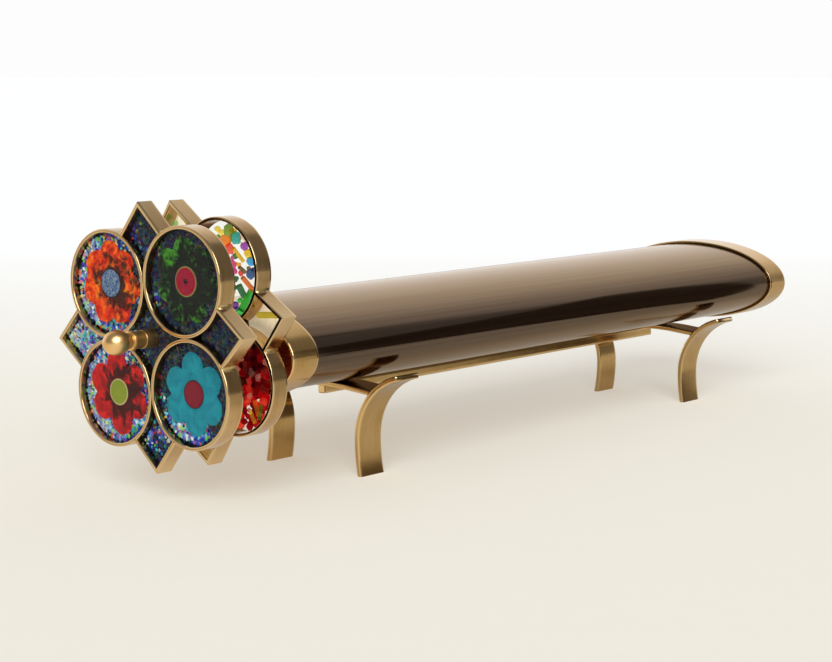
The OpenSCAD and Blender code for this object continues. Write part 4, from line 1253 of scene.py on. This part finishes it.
# Other beads fill what is left of three rings, each in the colour of the glass nearest to it. All beads
# swell beyond the radius given here, so that they lie close.
fill_radius, fill_tries, bead_swell = 11.6, 300, 1.6
taken = bead_list + [(x + (far_x - x) * k / 3, y + (far_y - y) * k / 3, radius, code)
                     for x, y, far_x, far_y, radius, code in rod_list for k in range(4)]
chance = random.Random(12)
for side_x, side_y in ((-1, 1), (1, 1), (1, -1)):
    for _ in range(fill_tries):
        angle, reach = chance.uniform(0, 2 * math.pi), fill_radius * math.sqrt(chance.random())
        size = chance.uniform(0.5, 1.0)
        x, y = side_x * ring_pitch + reach * math.cos(angle), side_y * ring_pitch + reach * math.sin(angle)
        near = min(taken, key=lambda other: math.dist(other[:2], (x, y)))
        if math.dist(near[:2], (x, y)) > size + near[2]:
            bead_list.append((x, y, size / bead_swell, near[3]))
            taken.append(bead_list[-1])

places = bmesh.new()
size_layer = places.verts.layers.float.new("size")
rod_layer = places.verts.layers.float.new("rod")
tint_layer = places.verts.layers.float_color.new("tint")
for x, y, radius, code in bead_list:
    spot = places.verts.new((x * mm, y * mm, (glass_front + pane + bead_half_depth) * mm))
    spot[size_layer], spot[rod_layer], spot[tint_layer] = bead_swell * radius * mm, 0.0, linear(code)
for x, y, far_x, far_y, radius, code in rod_list:
    lie = glass_front + pane + radius
    ends = [places.verts.new((p[0] * mm, p[1] * mm, lie * mm)) for p in ((x, y), (far_x, far_y))]
    for spot in ends:
        spot[size_layer], spot[rod_layer], spot[tint_layer] = radius * mm, 1.0, linear(code)
    places.edges.new(ends)
loose_glass = grow("rear_glass_beads", bead_tree, keep("places", places), {"Finish": bead_glass})
loose_glass.data.shade_smooth()
loose_glass.data.set_sharp_from_angle(angle=math.radians(50))
mount(loose_glass, "rear", bead_glass, "frit_glass")

# Shards of the rear wheel: broken red and dark red glass fills one of the lower rings, between the panes.
# The shards are loose, like the beads.

# Ruby glass: painted dark red where its painted light level is low, as shade, and bright scarlet where it
# is high, as light coming through an edge, with a faint painted glow of the same colour.
ruby_glass, tree = material("broken_ruby_glass")
chip = add(tree, "ShaderNodeAttribute", attribute_name="chip")
painted_glow_level = add(tree, "ShaderNodeAttribute", attribute_name="glow")
ruby = add(tree, "ShaderNodeValToRGB", {"Fac": chip.outputs["Fac"]}, steps="CONSTANT",
           stops=[(0.0, "#a80c18"), (0.3, "#d81a20"), (0.55, "#8a0a16"), (0.75, "#f04a3a"),
                  (0.9, "#f29a8a")])
# Painted light: each shard's red goes from dark to scarlet with its painted light level, and it glows
# faintly in that colour.
thick = add(tree, "ShaderNodeMix", {
    0: painted_glow_level.outputs["Fac"], 6: linear("#30060a"), 7: ruby.outputs["Color"]}, data_type="RGBA")
ruby_skin = add(tree, "ShaderNodeBsdfPrincipled", {
    "Base Color": thick.outputs[2], "Roughness": 0.08, "IOR": 1.12, "Transmission Weight": 0.8,
    "Emission Color": thick.outputs[2], "Emission Strength": 0.12})
add(tree, "ShaderNodeOutputMaterial", {"Surface": ruby_skin.outputs[0]})

shard_reach, shard_hole, shard_flat = 11.2, 2.0, 0.6
mid_depth = (glass_front + glass_back) / 2
shard_middle = (-ring_pitch, -ring_pitch)
shard_ground = flat_ground("shards", [(round_outline(shard_middle, shard_reach),
                                       round_outline(shard_middle, shard_hole))], mid_depth)
shards = grow("rear_glass_shards", strew_tree, shard_ground, {
    "Spacing": 1.4 * mm, "Smallest": 0.7 * mm, "Largest": 1.7 * mm, "Painted light side": (4.0, -14.0, 0.0),
    "Seed": 8, "Finish": ruby_glass})
press_flat(shards, mid_depth, shard_flat)
mount(shards, "rear", ruby_glass, "frit_glass")

# Knob: a flanged brass collar and an egg-shaped finial close the front of the axle and keep the wheels
# on it. Both are polished on the lathe, and the finial is screwed down on the axle's end.

# Polished brass: bright gold with a soft satin highlight, a faint lathe line every 0.3 mm and a little
# brown tarnish where fingers don't rub, in patches of about 4 mm.
polish_length, tarnish_size = 10.0, 4.0
polished_brass, tree = material("polished_brass_lathe_turned")
brushed = add(tree, "ShaderNodeAttribute", attribute_name="brush")
place = add(tree, "ShaderNodeTexCoord")
drawn_out = add(tree, "ShaderNodeMapping", {
    "Vector": brushed.outputs["Vector"], "Scale": (1 / polish_length, 1 / lathe_pitch, 1)})
lines = add(tree, "ShaderNodeTexNoise", {"Vector": drawn_out.outputs[0], "Scale": 1.0, "Detail": 2.0})
tarnish = add(tree, "ShaderNodeTexNoise", {
    "Vector": place.outputs["Object"], "Scale": 1 / (tarnish_size * mm), "Detail": 4.0})
gold = add(tree, "ShaderNodeValToRGB", {"Fac": tarnish.outputs["Fac"]},
           stops=[(0.3, "#e0b06c"), (0.55, "#eec486"), (0.8, "#f2d09a")])
smooth = add(tree, "ShaderNodeMapRange", {
    "Value": lines.outputs["Fac"], "From Min": 0.3, "From Max": 0.7, "To Min": 0.32, "To Max": 0.4})
knob_skin = add(tree, "ShaderNodeBsdfPrincipled", {
    "Base Color": gold.outputs["Color"], "Metallic": 1.0, "Roughness": smooth.outputs[0]})
add(tree, "ShaderNodeOutputMaterial", {"Surface": knob_skin.outputs[0]})

collar_start, flange_back, collar_stop = -125.8, -124.2, -121.9
flange_radius, sleeve_radius, collar_bore = 2.45, 2.2, 1.53
edge_round, edge_side, edge_drop = 0.45, 0.15, 0.12
sleeve_drop, sleeve_run = 0.02, 0.1
collar_line = [(collar_start, collar_bore), (collar_start, flange_radius - edge_round),
               (collar_start + edge_side, flange_radius - edge_drop),
               (collar_start + edge_round, flange_radius), (flange_back - edge_round, flange_radius),
               (flange_back - edge_side, flange_radius - edge_drop), (flange_back, sleeve_radius),
               (flange_back + sleeve_run, sleeve_radius - sleeve_drop),
               (collar_stop - edge_side, sleeve_radius - sleeve_drop),
               (collar_stop, sleeve_radius - sleeve_drop - edge_side), (collar_stop, collar_bore)]
collar = skin("knob_flanged_collar", lathe_rows(collar_line, axle_z, lathe_points),
              row_wear=[0, 0, 1, 1, 1, 1, 0, 0, 0, 1, 0], closed=True, along=False)
fit(collar, polished_brass, "scope", "brass", "knob_ring")

knob_tip, knob_head, knob_radius, neck_radius, knob_end = -133.2, 7.2, 3.05, 2.0, -125.8
knob_point, knob_steps, knob_points = 0.02, 36, 56
shoulder = math.pi - math.asin(neck_radius / knob_radius)
knob_line = [(knob_tip, knob_point)]
for step in range(1, knob_steps + 1):
    angle = shoulder * step / knob_steps
    knob_line.append((knob_tip + knob_head / 2 * (1 - math.cos(angle)), knob_radius * math.sin(angle)))
knob_line.append((knob_end, neck_radius))
knob = skin("finial_turned_knob", lathe_rows(knob_line, axle_z, knob_points), along=False)
fit(knob, polished_brass, "scope", "brass", "finial_knob")

# Studio: a pale sheet of paper to stand on, in a white room that is darker on the camera's side, which
# the lacquer mirrors as a dark band along the body. Two wide soft lights shine from that side: one lights
# the object, and a lower one lights only the paper.

# Seamless paper: warm white with the tooth of the paper, painted a little creamier and darker near the
# object and whiter towards the back, for light that falls fuller there. It lies on a lit table, so some
# light comes through it and its shadows stay pale. In gloss that light shows at about half beside the body,
# and in full under the wheels.
tooth_size, table_depth = 6.0, 600.0
table_back = (0.7612, 0.6485, 0)
full_glow, dim_glow = -80.0, -40.0
paper, tree = material("seamless_paper")
place = add(tree, "ShaderNodeTexCoord")
away = add(tree, "ShaderNodeVectorMath", {0: place.outputs["Object"], 1: table_back},
           operation="DOT_PRODUCT")
far_off = add(tree, "ShaderNodeMapRange", {"Value": away.outputs["Value"], "From Max": table_depth * mm})
tooth = add(tree, "ShaderNodeTexNoise", {
    "Vector": place.outputs["Object"], "Scale": 1 / (tooth_size * mm), "Detail": 3.0})
toothed = add(tree, "ShaderNodeMapRange", {"Value": tooth.outputs["Fac"], "To Min": 0.98, "To Max": 1.0})
# Painted light: creamier and darker near the object, whiter towards the back.
cream = add(tree, "ShaderNodeMix", {0: far_off.outputs[0], 6: linear("#b1b8b4"), 7: linear("#c2c4c4")},
            data_type="RGBA")
laid_paper = add(tree, "ShaderNodeVectorMath", {0: cream.outputs[2], "Scale": toothed.outputs[0]},
                 operation="SCALE")
lit_below = add(tree, "ShaderNodeMix", {0: far_off.outputs[0], 6: linear("#ffedd8"), 7: linear("#ffffff")},
                data_type="RGBA")
table_light = add(tree, "ShaderNodeMapRange", {
    "Value": far_off.outputs[0], "To Min": 0.45, "To Max": 0.485})
rays = add(tree, "ShaderNodeLightPath")
spread_out = add(tree, "ShaderNodeSeparateXYZ", {0: place.outputs["Object"]})
under_body = add(tree, "ShaderNodeMapRange", {
    "Value": spread_out.outputs[0], "From Min": full_glow * mm, "From Max": dim_glow * mm,
    "To Min": 1.05, "To Max": 0.55})
mirrored = add(tree, "ShaderNodeMapRange", {
    "Value": rays.outputs["Is Glossy Ray"], "To Min": 1.0, "To Max": under_body.outputs[0]})
table_glow = add(tree, "ShaderNodeMath", {0: table_light.outputs[0], 1: mirrored.outputs[0]},
                 operation="MULTIPLY")
paper_skin = add(tree, "ShaderNodeBsdfPrincipled", {
    "Base Color": laid_paper.outputs[0], "Roughness": 0.9, "Specular IOR Level": 0.1,
    "Emission Color": lit_below.outputs[2], "Emission Strength": table_glow.outputs[0]})
add(tree, "ShaderNodeOutputMaterial", {"Surface": paper_skin.outputs[0]})

sheet_half = 20000.0
sheet_shape = bmesh.new()
bmesh.ops.create_grid(sheet_shape, x_segments=8, y_segments=8, size=sheet_half * mm)
floor = set_out("paper_floor", keep("paper_floor", sheet_shape))
floor.data.materials.append(paper)

# White room: seen straight or through glass it is an even white, and in gloss it has a bright side and a
# dark side with a soft edge between them.
bright_way = (0.485, 0.770, -0.416)
scene = bpy.context.scene
scene.view_settings.view_transform = "Standard"
studio = bpy.data.worlds.new("studio")
studio.use_nodes = True
tree = studio.node_tree
tree.nodes.clear()
look = add(tree, "ShaderNodeTexCoord")
rays = add(tree, "ShaderNodeLightPath")
lit_side = add(tree, "ShaderNodeVectorMath", {0: look.outputs["Generated"], 1: bright_way},
               operation="DOT_PRODUCT")
sharp_side = add(tree, "ShaderNodeMapRange", {
    "Value": lit_side.outputs["Value"], "From Min": -0.04, "From Max": 0.04, "To Min": 0.22,
    "To Max": 0.72})
back_glow = add(tree, "ShaderNodeMapRange", {
    "Value": lit_side.outputs["Value"], "From Min": 0.12, "From Max": 0.46, "To Max": 0.38})
mirrored = add(tree, "ShaderNodeMath", {0: sharp_side.outputs[0], 1: back_glow.outputs[0]})
soft_side = add(tree, "ShaderNodeMapRange", {
    "Value": lit_side.outputs["Value"], "From Min": -0.7, "From Max": 0.7, "To Min": 0.42, "To Max": 0.46})
seen_light = add(tree, "ShaderNodeMix", {0: rays.outputs["Is Glossy Ray"], 2: soft_side.outputs[0],
                 3: mirrored.outputs[0]})
seen = add(tree, "ShaderNodeMath", {
    0: rays.outputs["Is Camera Ray"], 1: rays.outputs["Is Transmission Ray"]}, operation="MAXIMUM")
strength = add(tree, "ShaderNodeMix", {0: seen.outputs[0], 2: seen_light.outputs[0], 3: 0.985})
sky = add(tree, "ShaderNodeBackground", {"Color": (1, 1, 1, 1), "Strength": strength.outputs[0]})
add(tree, "ShaderNodeOutputWorld", {"Surface": sky.outputs[0]})
scene.world = studio

# Each light's reach holds the paper, left out for the light on the object and alone for the other.
soft_angle = math.radians(42)
for name, way, power, lights in (("softbox", (0.3, 0.8, -0.6), 2.75, "EXCLUDE"),
                                 ("table_softbox", (0.78, 0.57, -0.48), 3.57, "INCLUDE")):
    lamp = set_out(name, bpy.data.lights.new(name, "SUN"))
    lamp.data.energy = power
    lamp.data.angle = soft_angle
    lamp.rotation_euler = Vector(way).to_track_quat("-Z", "Y").to_euler()
    reach = bpy.data.collections.new(f"{name}_reach")
    reach.objects.link(floor)
    lamp.light_linking.receiver_collection = reach
    reach.collection_objects[0].light_linking.link_state = lights

# Brown felt on an upright flag beside the rear legs: matt, with a nap of about 2 mm. Only the gloss of the
# object shows it.
flag_near, flag_far, flag_height = (50.0, -162.0), (150.0, -50.0), 120.0
nap_size = 2.0
felt, tree = material("brown_felt")
place = add(tree, "ShaderNodeTexCoord")
nap = add(tree, "ShaderNodeTexNoise", {"Vector": place.outputs["Object"], "Scale": 1 / (nap_size * mm)})
napped = add(tree, "ShaderNodeValToRGB", {"Fac": nap.outputs["Fac"]},
             stops=[(0.3, "#5e544c"), (0.7, "#6a6058")])
felt_skin = add(tree, "ShaderNodeBsdfPrincipled", {"Base Color": napped.outputs["Color"], "Roughness": 1.0})
add(tree, "ShaderNodeOutputMaterial", {"Surface": felt_skin.outputs[0]})
flag_mesh = bpy.data.meshes.new("dark_flag")
flag_corners = [(*flag_near, 0.0), (*flag_far, 0.0), (*flag_far, flag_height), (*flag_near, flag_height)]
flag_mesh.from_pydata([Vector(corner) * mm for corner in flag_corners], [], [(0, 1, 2, 3)])
flag_mesh.materials.append(felt)
flag = set_out("dark_flag", flag_mesh)
flag.visible_camera = flag.visible_diffuse = flag.visible_shadow = flag.visible_transmission = False

camera_tilt, camera_turn = 7.53, 49.569
camera = set_out("camera", bpy.data.cameras.new("camera"))
camera.data.sensor_width = 36.0
camera.data.sensor_fit = "HORIZONTAL"
camera.data.lens = 85.88
camera.data.clip_start = 0.01
camera.location = (-0.44059, -0.35895, 0.10599)
camera.rotation_euler = (math.radians(90 - camera_tilt), 0, math.radians(-camera_turn))
scene.camera = camera
